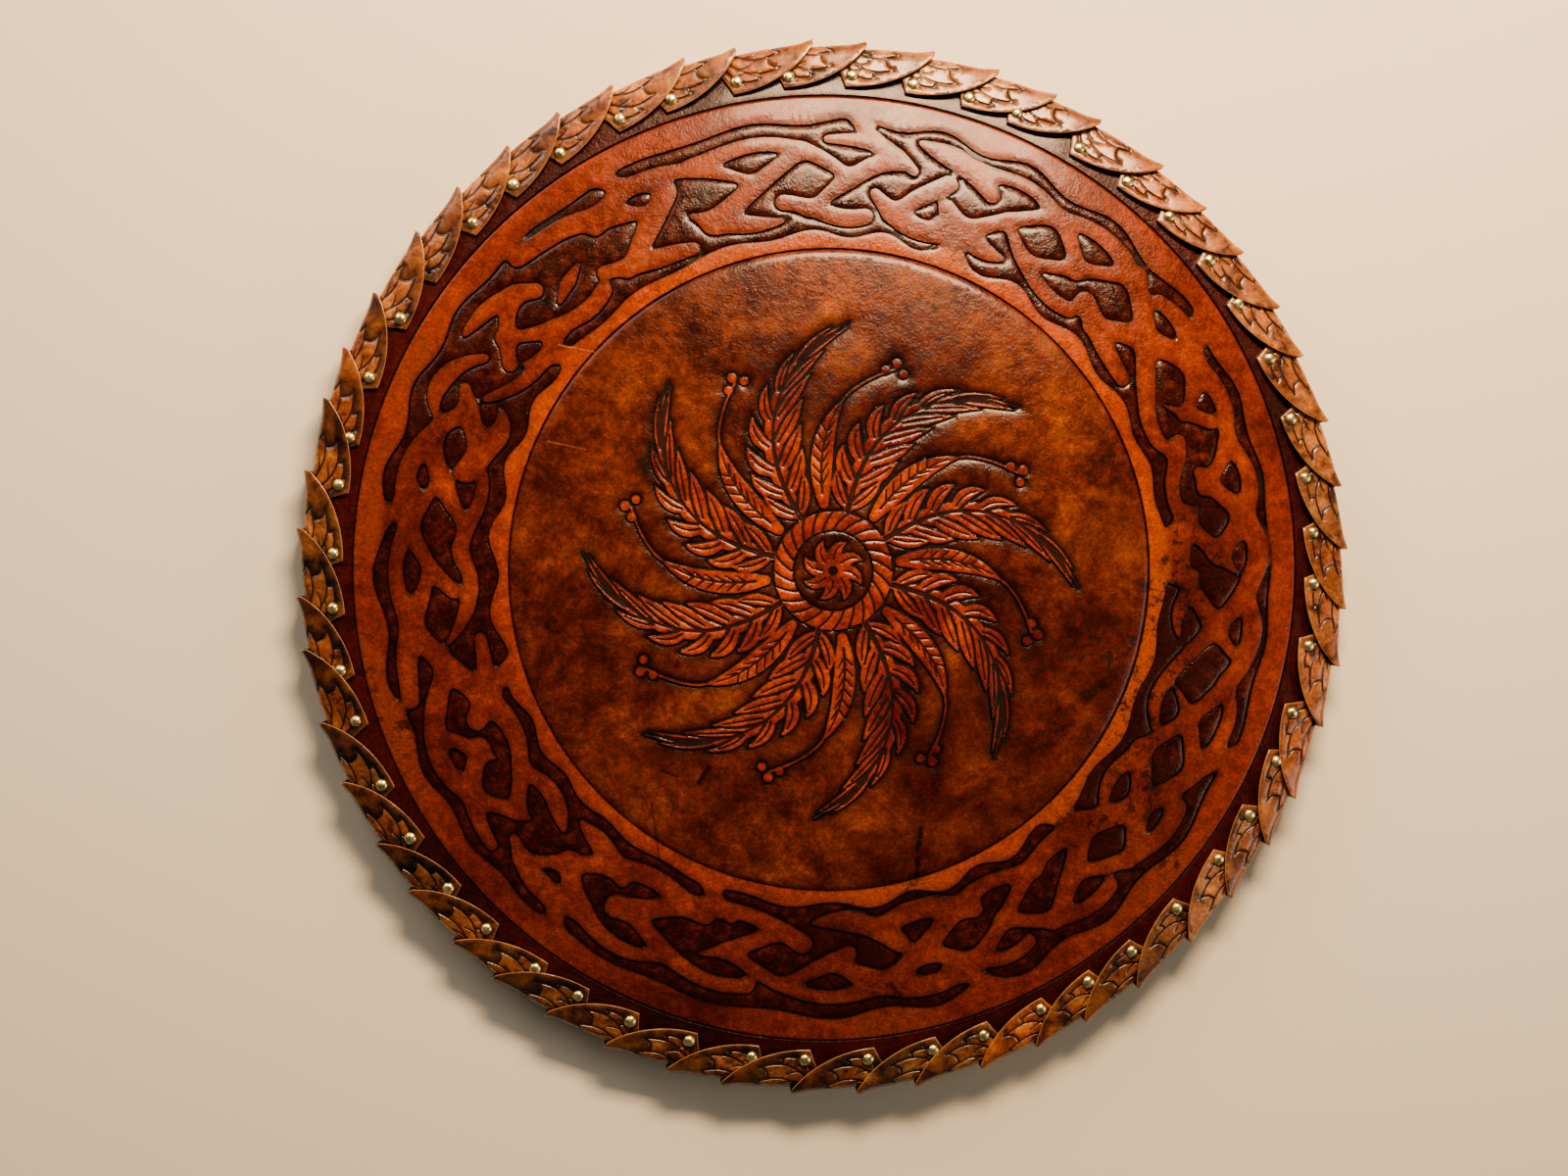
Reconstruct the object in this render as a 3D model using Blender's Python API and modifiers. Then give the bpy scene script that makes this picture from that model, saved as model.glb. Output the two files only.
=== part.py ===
"""A dished round wooden shield, faced with one sheet of carved leather and edged with nailed leather scales.

Units are metres. Z points out of the face, Y to the top of the face, and the shield lies on its rim on Z = 0.
"""

import math
import random

import bmesh
import bpy
import numpy as np
from mathutils.geometry import delaunay_2d_cdt

MM = 0.001

# The board is dished, so that the straps and a hand fit behind it.
BOARD_RADIUS = 295.0 * MM
BOARD_THICKNESS = 9.0 * MM
DISH_DEPTH = 36.0 * MM
CLEARANCE = 0.3 * MM

# The facing covers the whole front, with a cut circle round each zone of the carving.
SIDES = 46
LEATHER_THICKNESS = 3.2 * MM
GROUND_DEPTH = 1.3 * MM
EDGE_BAND = 25.2 * MM
GROOVE_WIDTH = 1.6 * MM
GROOVE_DEPTH = 0.8 * MM
DISC_DEPTH = 0.7 * MM
DISC_BEVEL = 8.0 * MM
CUT_RUN = 1.1 * MM

# The knotwork is a plait of four ribbons in a ring of pressed ground.
OUTER_RING = 14.8 * MM
KNOT_BAND = 65.0 * MM
INNER_RING = 8.5 * MM
PLAIT_WAVES = 7
STRANDS = 4
RIBBON = 5.1 * MM
CHANNEL = 4.8 * MM
FILLET = 5.0 * MM
CORNER_ROUNDING = 2.6 * MM
BORDER_WAVE = 2.2 * MM

# The rosette in the middle: leaves that curve out from a small ring.
ROSETTE_RADIUS = 140.0 * MM
ROSETTE_HUB = 34.0 * MM
ROSETTE_LEAVES = 8
LEAF_HALF = 21.0 * MM
ROSETTE_CUT = 1.5 * MM
ROSETTE_DEPTH = 0.9 * MM

# The scales fold over the edge, each one over the next one clockwise.
SCALE_COUNT = 52
SCALE_THICKNESS = 1.8 * MM
SCALE_REACH = 20.0 * MM
SCALE_TAIL = 51.0 * MM
SCALE_COVERED = 8.0 * MM
SCALE_BEND = 4.0 * MM
SCALE_RISE = 0.078
SCALE_FLARE = 0.057
SCALE_JITTER = 0.55
BARE_SCALE = 44

# Brass nails with domed heads, one in each scale but the bare one.
NAIL_RADIUS = 3.5 * MM
NAIL_HEIGHT = 2.2 * MM
NAIL_ALONG = 3.8 * MM
NAIL_OUT = 6.6 * MM

# The straps behind: a wide loop for the forearm and a narrower one for the hand.
STRAP_THICKNESS = 4.0 * MM
ARM_SPAN = 150.0 * MM
ARM_WIDTH = 50.0 * MM
ARM_X = -70.0 * MM
HAND_SPAN = 118.0 * MM
HAND_WIDTH = 32.0 * MM
HAND_X = 78.0 * MM
STRAP_STAND = 30.0 * MM
STRAP_FOOT = 26.0 * MM
RIVET_RADIUS = 6.0 * MM
RIVET_HEIGHT = 2.6 * MM

GROOVE_RADIUS = BOARD_RADIUS - EDGE_BAND
GROUND_OUTER = GROOVE_RADIUS - OUTER_RING
GROUND_INNER = GROUND_OUTER - KNOT_BAND
DISC_RADIUS = GROUND_INNER - INNER_RING
SPHERE = (BOARD_RADIUS**2 + DISH_DEPTH**2) / (2 * DISH_DEPTH)
SCALE_UNDER = CLEARANCE + SCALE_THICKNESS + SCALE_RISE * (SCALE_TAIL + SCALE_COVERED) + 2 * MM
BOARD_TOP = SCALE_UNDER + BOARD_THICKNESS
FACE_BACK = BOARD_TOP + CLEARANCE
FACE_TOP = FACE_BACK + LEATHER_THICKNESS


def dish(x, y):
    """How far the dished board stands above its rim here."""
    r2 = np.minimum(x * x + y * y, (BOARD_RADIUS * 1.1) ** 2)
    return np.sqrt(SPHERE**2 - r2) - math.sqrt(SPHERE**2 - BOARD_RADIUS**2)


def dished(mesh):
    """Moves a mesh that was made for a flat board onto the dished one."""
    points = np.empty(len(mesh.vertices) * 3)
    mesh.vertices.foreach_get("co", points)
    points = points.reshape(-1, 3)
    points[:, 2] += dish(points[:, 0], points[:, 1])
    mesh.vertices.foreach_set("co", points.ravel())
    mesh.update()


def polar(radius, angle):
    """The point at this radius and this angle clockwise from the top."""
    return radius * math.sin(angle), radius * math.cos(angle)


def stretched(turn):
    """How far round the hand's spacing shifts what was spaced evenly."""
    return 0.045 * math.sin(2 * turn + 0.6) + 0.03 * math.sin(5 * turn + 2.1)


def plait_point(strand, turn, drift, aside):
    """A point of a ribbon's middle line, this far aside of its wave."""
    middle = (GROUND_INNER + GROUND_OUTER) / 2
    swing = (GROUND_OUTER - GROUND_INNER) / 2 - CHANNEL - RIBBON
    wave = math.sin(PLAIT_WAVES * turn + strand * math.pi / 2)
    wander = 1.9 * MM * math.sin(3 * turn + drift) * math.cos(5 * turn + strand)
    return polar(middle + swing * wave + wander + aside, turn + stretched(turn))


def plait_breaks(strand, rng):
    """Where a ribbon stops and goes on at the crossings that it passes under, as angles."""
    middle = (GROUND_INNER + GROUND_OUTER) / 2
    away = (2.35 * RIBBON + 2.6 * MM) / middle * 0.92
    breaks = []
    for eighth in range(8 * PLAIT_WAVES):
        phase = eighth * math.pi / 4
        wave = phase + strand * math.pi / 2
        middle_row = abs(math.sin(wave)) < 0.05
        side_row = abs(abs(math.sin(wave)) - 0.7071) < 0.05
        if not ((math.cos(wave) > 0.05 and side_row) or (math.cos(wave) < -0.05 and middle_row)):
            continue
        kind = rng.choice(("join", "join", "both", "before", "before", "after", "after"))
        turn = phase / PLAIT_WAVES
        near = away * rng.uniform(0.9, 1.25) if kind in ("both", "before") else 0.0
        far = away * rng.uniform(0.9, 1.25) if kind in ("both", "after") else 0.0
        if kind != "join":
            breaks.append((turn - near, turn + far))
    return sorted(breaks)


def plait_strokes():
    """The ribbons as (points, radii), each broken off where it passes under another one."""
    rng = random.Random(23)
    middle = (GROUND_INNER + GROUND_OUTER) / 2
    strokes = []
    for strand in range(STRANDS):
        drift = rng.uniform(0, 6.28)
        girth = RIBBON * rng.uniform(0.9, 1.05)
        breaks = plait_breaks(strand, rng)
        for (_, start), (stop, _) in zip(breaks, breaks[1:] + [(breaks[0][0] + 2 * math.pi, 0)]):
            count = max(4, round((stop - start) * middle / (3.2 * MM)))
            hooks = [rng.uniform(-5, 5) * MM for _ in range(2)]
            tapers = [rng.choice((-0.12, 0.15, 0.45, 0.75)) for _ in range(2)]
            points, radii = [], []
            for i in range(count + 1):
                share = i / count
                turn = start + (stop - start) * share
                tip = int(share > 0.5)
                length = min(share, 1 - share) * (stop - start) * middle
                end = max(0.0, 1 - length / (20 * MM))
                points.append(plait_point(strand, turn, drift, hooks[tip] * end**2.2))
                swell = 1 + 0.2 * math.sin(9 * turn + drift)
                radii.append(girth * swell * (1 - tapers[tip] * end**1.6))
            strokes.append((points, radii))
    for spur in range(13):
        turn = 2 * math.pi * (spur + rng.uniform(-0.3, 0.3)) / 13
        near, far, lean = GROUND_OUTER + 2 * MM, GROUND_OUTER - 17 * MM, 0.09
        if spur % 2:
            near, far, lean = GROUND_INNER - 2 * MM, GROUND_INNER + 17 * MM, -0.09
        points = [polar(near + (far - near) * k / 5, turn + lean * (k / 5) ** 1.5) for k in range(6)]
        strokes.append((points, [RIBBON * (1.05 - 0.16 * k) for k in range(6)]))
    return strokes


def leaf_point(base, share, side):
    """A point on a leaf: its share of the length, and -1, 0 or 1 for an edge, the midrib and the other edge."""
    radius = ROSETTE_HUB + (ROSETTE_RADIUS - ROSETTE_HUB) * share
    half = LEAF_HALF * math.sin(math.pi * share**0.75) ** 0.8 * (1 - 0.35 * share)
    return polar(radius, base + 0.62 * share * share + side * half / radius)


def rosette_lines():
    """The rosette's cut lines as (points, radii): both edges of each leaf, and the ring that they rise from."""
    lines = []
    for leaf in range(ROSETTE_LEAVES):
        base = 2 * math.pi * (leaf + 0.3) / ROSETTE_LEAVES
        for side in (-1, 1):
            points = [leaf_point(base, k / 6, side) for k in range(7)]
            lines.append((points, [ROSETTE_CUT * (1 - 0.5 * k / 6) for k in range(7)]))
    hub = ROSETTE_HUB - 6 * MM
    lines.append(([polar(hub, 2 * math.pi * k / 24) for k in range(25)], [ROSETTE_CUT] * 25))
    return lines


def join_stroke(field, xs, points, radii, fillet):
    """Raises the field to a stroke's, with a fillet where they meet."""
    pts, rad = np.array(points), np.array(radii)
    step = xs[1] - xs[0]
    margin = rad.max() + 8 * MM
    low = np.floor((pts.min(0) - margin - xs[0]) / step).astype(int).clip(0)
    high = np.ceil((pts.max(0) + margin - xs[0]) / step).astype(int) + 1
    cols, rows = slice(low[0], high[0]), slice(low[1], high[1])
    x, y = np.meshgrid(xs[cols], xs[rows])
    own = np.full(x.shape, -1.0)
    for (ax, ay), (bx, by), ra, rb in zip(pts[:-1], pts[1:], rad[:-1], rad[1:]):
        dx, dy = bx - ax, by - ay
        t = (((x - ax) * dx + (y - ay) * dy) / (dx * dx + dy * dy)).clip(0, 1)
        own = np.maximum(own, ra + (rb - ra) * t - np.hypot(x - ax - dx * t, y - ay - dy * t))
    there = field[rows, cols]
    near = (1 - np.abs(there - own) / fillet).clip(0)
    field[rows, cols] = np.maximum(there, own) + near * near * fillet / 4


def softened(field, step):
    """The field with its corners rounded, as the knife and the pressing tool round them."""
    reach = round(CORNER_ROUNDING / step)
    weights = np.hanning(2 * reach + 3)[1:-1]
    weights /= weights.sum()
    field = np.clip(field, -2 * CORNER_ROUNDING, 2 * CORNER_ROUNDING)
    for axis in (0, 1):
        field = np.apply_along_axis(np.convolve, axis, field, weights, "same")
    return field


def carving_fields(step):
    """Two grids, positive where the ground of the knotwork and where a line of the rosette is cut down."""
    half = GROUND_OUTER + 6 * MM
    xs = np.arange(-half, half + step, step)
    x, y = np.meshgrid(xs, xs)
    r, turn = np.hypot(x, y), np.arctan2(x, y)
    lag = 0.045 * np.sin(2 * turn + 0.6) + 0.03 * np.sin(5 * turn + 2.1)
    sway = BORDER_WAVE * (1 + 0.5 * np.sin(3 * turn)) * np.cos(STRANDS * PLAIT_WAVES * (turn - lag))
    raised = np.maximum(r - GROUND_OUTER - sway, GROUND_INNER - sway - r)
    for points, radii in plait_strokes():
        join_stroke(raised, xs, points, radii, FILLET)
    cuts = np.full(raised.shape, -1.0)
    for points, radii in rosette_lines():
        join_stroke(cuts, xs, points, radii, 0.3 * MM)
    return xs, -softened(raised, step), cuts


def contours(xs, field, level, slack):
    """The closed lines where the field crosses the level, with as few points as keep within the slack."""
    over = field > level
    cell = over[:-1, :-1] + 2 * over[:-1, 1:] + 4 * over[1:, 1:] + 8 * over[1:, :-1]
    sides = {1: "LB", 2: "BR", 3: "LR", 4: "RT", 6: "BT", 7: "LT", 8: "TL", 9: "TB", 11: "TR", 12: "RL", 13: "RB", 14: "BL"}
    split = {5: ("LB", "RT"), 10: ("BR", "TL")}
    follow = {}
    for i, j in np.argwhere((cell > 0) & (cell < 15)):
        name = {"B": (i, j, 0), "T": (i + 1, j, 0), "L": (i, j, 1), "R": (i, j + 1, 1)}
        code = int(cell[i, j])
        for a, b in split[code] if code in split else (sides[code],):
            follow[name[a]] = name[b]
    loops = []
    while follow:
        start, after = follow.popitem()
        loop = [start]
        while after != start:
            loop.append(after)
            after = follow.pop(after)
        points = []
        for i, j, upright in loop:
            a, b = field[i, j], field[i + upright, j + 1 - upright]
            share = (level - a) / (b - a)
            points.append((xs[j] + (xs[1] - xs[0]) * share * (1 - upright), xs[i] + (xs[1] - xs[0]) * share * upright))
        loops.append(thinned(np.array(points), slack))
    return [loop for loop in loops if len(loop) > 2]


def thinned(points, slack):
    """A closed line with the points left out that lie within the slack of the rest."""
    kept = np.zeros(len(points), bool)
    far = int(np.argmax(np.hypot(*(points - points[0]).T)))
    kept[[0, far]] = True
    ring = np.vstack([points, points[:1]])
    stack = [(0, far), (far, len(points))]
    while stack:
        a, b = stack.pop()
        if b - a < 2:
            continue
        chord = ring[b] - ring[a]
        off = ring[a + 1 : b] - ring[a]
        distance = np.abs(chord[0] * off[:, 1] - chord[1] * off[:, 0]) / (np.hypot(*chord) + 1e-12)
        worst = int(np.argmax(distance))
        if distance[worst] > slack:
            kept[a + 1 + worst] = True
            stack += [(a, a + 1 + worst), (a + 1 + worst, b)]
    return points[kept]


def circle(radius, count, turn=0.0):
    return np.array([polar(radius, turn + 2 * math.pi * k / count) for k in range(count)])


def new_object(name, bm, material):
    mesh = bpy.data.meshes.new(name)
    bm.to_mesh(mesh)
    bm.free()
    obj = bpy.data.objects.new(name, mesh)
    obj.data.materials.append(material)
    shield.objects.link(obj)
    return obj


def material(name, color, roughness, metallic=0.0):
    made = bpy.data.materials.new(name)
    made.use_nodes = True
    shader = made.node_tree.nodes["Principled BSDF"]
    shader.inputs["Base Color"].default_value = (*color, 1)
    shader.inputs["Roughness"].default_value = roughness
    shader.inputs["Metallic"].default_value = metallic
    return made


def spun(name, profile, steps, made_of):
    """A solid from a profile of (radius, height) points, turned about Z by a Screw."""
    bm = bmesh.new()
    verts = [bm.verts.new((radius, 0, height)) for radius, height in profile]
    for a, b in zip(verts, verts[1:]):
        bm.edges.new((a, b))
    mesh = bpy.data.meshes.new(name)
    bm.to_mesh(mesh)
    bm.free()
    obj = bpy.data.objects.new(name, mesh)
    obj.data.materials.append(made_of)
    shield.objects.link(obj)
    screw = obj.modifiers.new("Turn", "SCREW")
    screw.steps = screw.render_steps = steps
    screw.use_merge_vertices = True
    screw.merge_threshold = 0.0001
    screw.use_normal_calculate = True
    return obj


def settled(obj):
    """Applies the object's modifiers."""
    graph = bpy.context.evaluated_depsgraph_get()
    mesh = bpy.data.meshes.new_from_object(obj.evaluated_get(graph))
    obj.modifiers.clear()
    obj.data = mesh
    return obj


for thing in list(bpy.data.objects):
    bpy.data.objects.remove(thing)
shield = bpy.data.collections.new("round_shield")
bpy.context.scene.collection.children.link(shield)

wood = material("stained_wood", (0.13, 0.06, 0.03), 0.6)
face_leather = material("face_leather", (0.25, 0.05, 0.015), 0.4)
scale_leather = material("scale_leather", (0.36, 0.17, 0.05), 0.45)
strap_leather = material("strap_leather", (0.11, 0.045, 0.02), 0.55)
brass = material("brass", (0.75, 0.6, 0.3), 0.3, 1.0)


# The board: a disc with rounded edges, dished once it is turned.
rings = [BOARD_RADIUS * k / 6 for k in range(7)]
profile = [(r, BOARD_TOP) for r in rings[:-1]]
profile += [(BOARD_RADIUS - 2 * MM, BOARD_TOP), (BOARD_RADIUS, BOARD_TOP - 2 * MM)]
profile += [(BOARD_RADIUS, SCALE_UNDER + 2 * MM), (BOARD_RADIUS - 2 * MM, SCALE_UNDER)]
profile += [(r, SCALE_UNDER) for r in rings[-2::-1]]
board = settled(spun("wood_board", profile[::-1], SIDES, wood))
dished(board.data)


# The facing: its carved front is a triangulation that holds every cut line, over a plain back.
points, levels, edges = [], [], []


def add_loop(loop, level):
    first = len(points)
    points.extend(map(tuple, loop))
    levels.extend([level] * len(loop))
    edges.extend((first + k, first + (k + 1) % len(loop)) for k in range(len(loop)))


xs, ground, cuts = carving_fields(0.9 * MM)
for loop in contours(xs, ground, 0, 1.4 * MM):
    add_loop(loop, FACE_TOP)
for loop in contours(xs, ground, CUT_RUN, 1.7 * MM):
    add_loop(loop, FACE_TOP - GROUND_DEPTH)
for loop in contours(xs, cuts, 0, 0.65 * MM):
    add_loop(loop, FACE_TOP)
for line, _ in rosette_lines():
    first = len(points)
    points.extend(line)
    levels.extend([FACE_TOP - ROSETTE_DEPTH] * len(line))
    edges.extend((first + k, first + k + 1) for k in range(len(line) - 1))
add_loop(circle((ROSETTE_RADIUS + DISC_RADIUS) / 2, 24), FACE_TOP)
add_loop(circle(GROOVE_RADIUS - GROOVE_WIDTH / 2, SIDES), FACE_TOP)
add_loop(circle(GROOVE_RADIUS, SIDES, math.pi / SIDES), FACE_TOP - GROOVE_DEPTH)
add_loop(circle(GROOVE_RADIUS + GROOVE_WIDTH / 2, SIDES), FACE_TOP)
add_loop(circle(DISC_RADIUS, SIDES), FACE_TOP)
add_loop(circle(DISC_RADIUS - CUT_RUN, SIDES), FACE_TOP - DISC_DEPTH)
add_loop(circle(DISC_RADIUS - DISC_BEVEL, 40), FACE_TOP)
add_loop(circle(BOARD_RADIUS, SIDES), FACE_TOP - 1.6 * MM)
rim = range(len(points) - SIDES, len(points))
add_loop(circle(BOARD_RADIUS - 2.5 * MM, SIDES), FACE_TOP)
verts, made_edges, faces, sources, _, _ = delaunay_2d_cdt(points, edges, [], 0, 1e-5)
level = [levels[source[0]] if source else FACE_TOP for source in sources]
bm = bmesh.new()
top = [bm.verts.new((v.x, v.y, z)) for v, z in zip(verts, level)]
for face in faces:
    bm.faces.new([top[k] for k in face])
back_rings = [circle(BOARD_RADIUS * k / 7, SIDES if k == 7 else 7 * k) for k in range(1, 8)]
flat = [(0.0, 0.0)] + [tuple(p) for ring in back_rings for p in ring]
_, _, back_faces, back_sources, _, _ = delaunay_2d_cdt(flat, [], [], 0, 1e-5)
under = [bm.verts.new((*flat[source[0]], FACE_BACK)) for source in back_sources]
where = {source[0]: vert for source, vert in zip(back_sources, under)}
for face in back_faces:
    bm.faces.new([under[k] for k in reversed(face)])
index = {source[0]: vert for source, vert in zip(sources, top) if source}
for k in range(SIDES):
    upper, upper_next = index[rim[k]], index[rim[(k + 1) % SIDES]]
    lower, lower_next = where[len(flat) - SIDES + k], where[len(flat) - SIDES + (k + 1) % SIDES]
    bm.faces.new((upper, upper_next, lower_next, lower))
bmesh.ops.recalc_face_normals(bm, faces=bm.faces)
facing = new_object("leather_facing", bm, face_leather)
dished(facing.data)


# A scale is a strip folded round the rim. Each row runs along the rim, from the hidden edge to the free one.
def scale_row(along, out, depth, side):
    """A point on a scale: how far along the rim, how far out on the face, and which side."""
    lift = SCALE_RISE * (along + SCALE_COVERED)
    wall = BOARD_RADIUS + CLEARANCE + SCALE_THICKNESS + SCALE_FLARE * (along + SCALE_COVERED)
    if side > 0:
        height = FACE_TOP + CLEARANCE + SCALE_THICKNESS + lift
    else:
        height = SCALE_UNDER - CLEARANCE - SCALE_THICKNESS - lift
    corner = BOARD_RADIUS - SCALE_REACH
    if depth == 0:
        return along, corner + (wall - SCALE_BEND - corner) * out, height
    turn = depth * math.pi / 2
    centre = height - side * SCALE_BEND
    return along, wall - SCALE_BEND + SCALE_BEND * math.sin(turn), centre + side * SCALE_BEND * math.cos(turn)


SCALE_ROWS = [(0, 0), (0.2, 0), (0.55, 0), (1, 0), (1, 0.5), (1, 1)]
rng = random.Random(5)
for number in range(SCALE_COUNT):
    angle = 2 * math.pi * (number + 0.25 + SCALE_JITTER * rng.uniform(-0.2, 0.2)) / SCALE_COUNT
    tail = SCALE_TAIL * rng.uniform(0.95, 1.0)
    bm = bmesh.new()
    rows = [(out, depth, 1) for out, depth in SCALE_ROWS]
    rows += [(out, depth, -1) for out, depth in reversed(SCALE_ROWS) if out in (0, 1)]
    grid = []
    for out, depth, side in rows:
        left, right = -SCALE_COVERED * out**1.1, tail * out**0.45
        line = []
        for column in range(3):
            along, away, height = scale_row(left + (right - left) * column / 2, out, depth, side)
            line.append(bm.verts.new((along, away, height)))
        grid.append(line)
    for a, b in zip(grid, grid[1:]):
        for k in range(2):
            bm.faces.new((a[k], a[k + 1], b[k + 1], b[k]))
    bmesh.ops.remove_doubles(bm, verts=bm.verts, dist=0.01 * MM)
    turned = [(v, v.co.copy()) for v in bm.verts]
    for vert, at in turned:
        vert.co.x = at.y * math.sin(angle) + at.x * math.cos(angle)
        vert.co.y = at.y * math.cos(angle) - at.x * math.sin(angle)
    scale = new_object(f"scale_{number + 1:02d}", bm, scale_leather)
    shell = scale.modifiers.new("Thickness", "SOLIDIFY")
    shell.thickness = SCALE_THICKNESS
    shell.offset = -1
    settled(scale)
    if number != BARE_SCALE:
        away = BOARD_RADIUS - SCALE_REACH + NAIL_OUT
        lift = FACE_TOP + CLEARANCE + SCALE_THICKNESS + SCALE_RISE * (NAIL_ALONG + SCALE_COVERED)
        nail = bmesh.new()
        bmesh.ops.create_cone(
            nail, cap_ends=True, segments=5, radius1=NAIL_RADIUS, radius2=NAIL_RADIUS * 0.45, depth=NAIL_HEIGHT + 1 * MM
        )
        bmesh.ops.translate(nail, verts=nail.verts, vec=(0, 0, lift + NAIL_HEIGHT / 2 - 0.5 * MM))
        for vert in nail.verts:
            x, y = vert.co.x + NAIL_ALONG, vert.co.y + away
            vert.co.x = y * math.sin(angle) + x * math.cos(angle)
            vert.co.y = y * math.cos(angle) - x * math.sin(angle)
        head = new_object("nail", nail, brass)
        union = scale.modifiers.new("Nail", "BOOLEAN")
        union.operation = "UNION"
        union.solver = "EXACT"
        union.object = head
        bpy.context.view_layer.update()
        settled(scale)
        bpy.data.objects.remove(head)
    dished(scale.data)


# A strap is a flat band bent up from two feet, with a rivet through each foot.
def strap(name, x, span, width, rivet_names):
    stand = SCALE_UNDER - CLEARANCE
    half = span / 2
    path = [(-half - STRAP_FOOT, 0), (-half, 0), (-half + 22 * MM, STRAP_STAND * 0.75), (-half + 42 * MM, STRAP_STAND)]
    path += [(-y, drop) for y, drop in reversed(path)]
    bm = bmesh.new()
    lines = []
    for y, drop in path:
        lines.append([bm.verts.new((x + across * width / 2, y, stand - drop)) for across in (-1, 0, 1)])
    for a, b in zip(lines, lines[1:]):
        for k in range(2):
            bm.faces.new((a[k], a[k + 1], b[k + 1], b[k]))
    band = new_object(name, bm, strap_leather)
    shell = band.modifiers.new("Thickness", "SOLIDIFY")
    shell.thickness = STRAP_THICKNESS
    shell.offset = -1
    shell.use_even_offset = True
    settled(band)
    dished(band.data)
    for rivet, side in zip(rivet_names, (-1, 1)):
        bm = bmesh.new()
        bmesh.ops.create_cone(
            bm, cap_ends=True, segments=16, radius1=RIVET_RADIUS * 0.6, radius2=RIVET_RADIUS, depth=RIVET_HEIGHT
        )
        foot = stand - STRAP_THICKNESS - CLEARANCE - RIVET_HEIGHT / 2 - 0.3 * MM
        bmesh.ops.translate(bm, verts=bm.verts, vec=(x, side * (half + STRAP_FOOT * 0.5), foot))
        made = new_object(rivet, bm, brass)
        dished(made.data)


strap("arm_strap", ARM_X, ARM_SPAN, ARM_WIDTH, ("arm_rivet_lower", "arm_rivet_upper"))
strap("hand_grip", HAND_X, HAND_SPAN, HAND_WIDTH, ("hand_rivet_lower", "hand_rivet_upper"))


# The shield comes to rest on the lowest points of its scales, with the middle of its box over the origin.
corners = np.array([vert.co for obj in shield.objects for vert in obj.data.vertices])
low, high = corners.min(axis=0), corners.max(axis=0)
for obj in shield.objects:
    for vert in obj.data.vertices:
        vert.co.x -= (low[0] + high[0]) / 2
        vert.co.y -= (low[1] + high[1]) / 2
        vert.co.z -= low[2]
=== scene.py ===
"""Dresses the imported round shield: dished board, carved leather face, nailed edge scales, straps."""

import math
import random

import bmesh
import bpy
import numpy as np
from mathutils import Matrix, Vector, noise
from mathutils.geometry import delaunay_2d_cdt


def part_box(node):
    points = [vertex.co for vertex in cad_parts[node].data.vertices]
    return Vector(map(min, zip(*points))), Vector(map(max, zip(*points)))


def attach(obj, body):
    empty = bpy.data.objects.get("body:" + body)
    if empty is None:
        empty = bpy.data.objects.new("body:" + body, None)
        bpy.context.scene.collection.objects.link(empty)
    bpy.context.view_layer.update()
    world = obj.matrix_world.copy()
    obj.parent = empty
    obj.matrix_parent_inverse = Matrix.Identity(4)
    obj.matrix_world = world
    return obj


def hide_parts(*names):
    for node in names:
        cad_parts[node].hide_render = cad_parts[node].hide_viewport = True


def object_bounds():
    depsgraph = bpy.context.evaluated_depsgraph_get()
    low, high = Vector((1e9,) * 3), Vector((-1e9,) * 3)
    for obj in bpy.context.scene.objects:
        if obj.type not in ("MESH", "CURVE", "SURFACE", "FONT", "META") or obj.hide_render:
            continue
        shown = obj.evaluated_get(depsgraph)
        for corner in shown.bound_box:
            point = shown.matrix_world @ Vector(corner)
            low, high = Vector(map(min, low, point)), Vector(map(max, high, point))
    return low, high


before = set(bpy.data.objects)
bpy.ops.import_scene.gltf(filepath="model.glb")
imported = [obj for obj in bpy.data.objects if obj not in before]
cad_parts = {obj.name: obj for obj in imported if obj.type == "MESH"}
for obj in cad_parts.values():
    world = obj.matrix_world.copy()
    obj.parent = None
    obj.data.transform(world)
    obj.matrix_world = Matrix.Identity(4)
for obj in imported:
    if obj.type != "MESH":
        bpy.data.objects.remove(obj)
cad_low, cad_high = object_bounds()


# The board
# Oak boards glued edge to edge, planed to a shallow dish and stained dark. The leather covers their
# front and the scales their edge, so only the back of them shows.
MM = 0.001
board_low, board_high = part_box("wood_board")
face_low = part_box("leather_facing")[0]
MIDDLE = ((board_low[0] + board_high[0]) / 2, (board_low[1] + board_high[1]) / 2)
BOARD_RADIUS = (board_high[0] - board_low[0]) / 2
DISH_DEPTH = 36 * MM
FACE_BACK = face_low[2]
CLEARANCE = 0.3 * MM
BOARD_TOP = FACE_BACK - CLEARANCE
BOARD_UNDER = BOARD_TOP - 9 * MM
PLANK = 98 * MM
SEAM = 0.9 * MM
SPHERE = (BOARD_RADIUS**2 + DISH_DEPTH**2) / (2 * DISH_DEPTH)


def dished(x, y, height):
    """The place on the dished shield of points that were laid out flat."""
    r2 = np.minimum(x * x + y * y, (BOARD_RADIUS * 1.1) ** 2)
    rise = np.sqrt(SPHERE**2 - r2) - math.sqrt(SPHERE**2 - BOARD_RADIUS**2)
    return np.stack([x + MIDDLE[0], y + MIDDLE[1], height + rise], axis=1)


def polar(radius, turn):
    """The point at this radius and this angle clockwise from the top."""
    return radius * math.sin(turn), radius * math.cos(turn)


def round_line(radius, spacing):
    """A closed ring of points."""
    count = max(12, round(2 * math.pi * radius / spacing))
    return np.array([polar(radius, 2 * math.pi * k / count) for k in range(count)])


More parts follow.
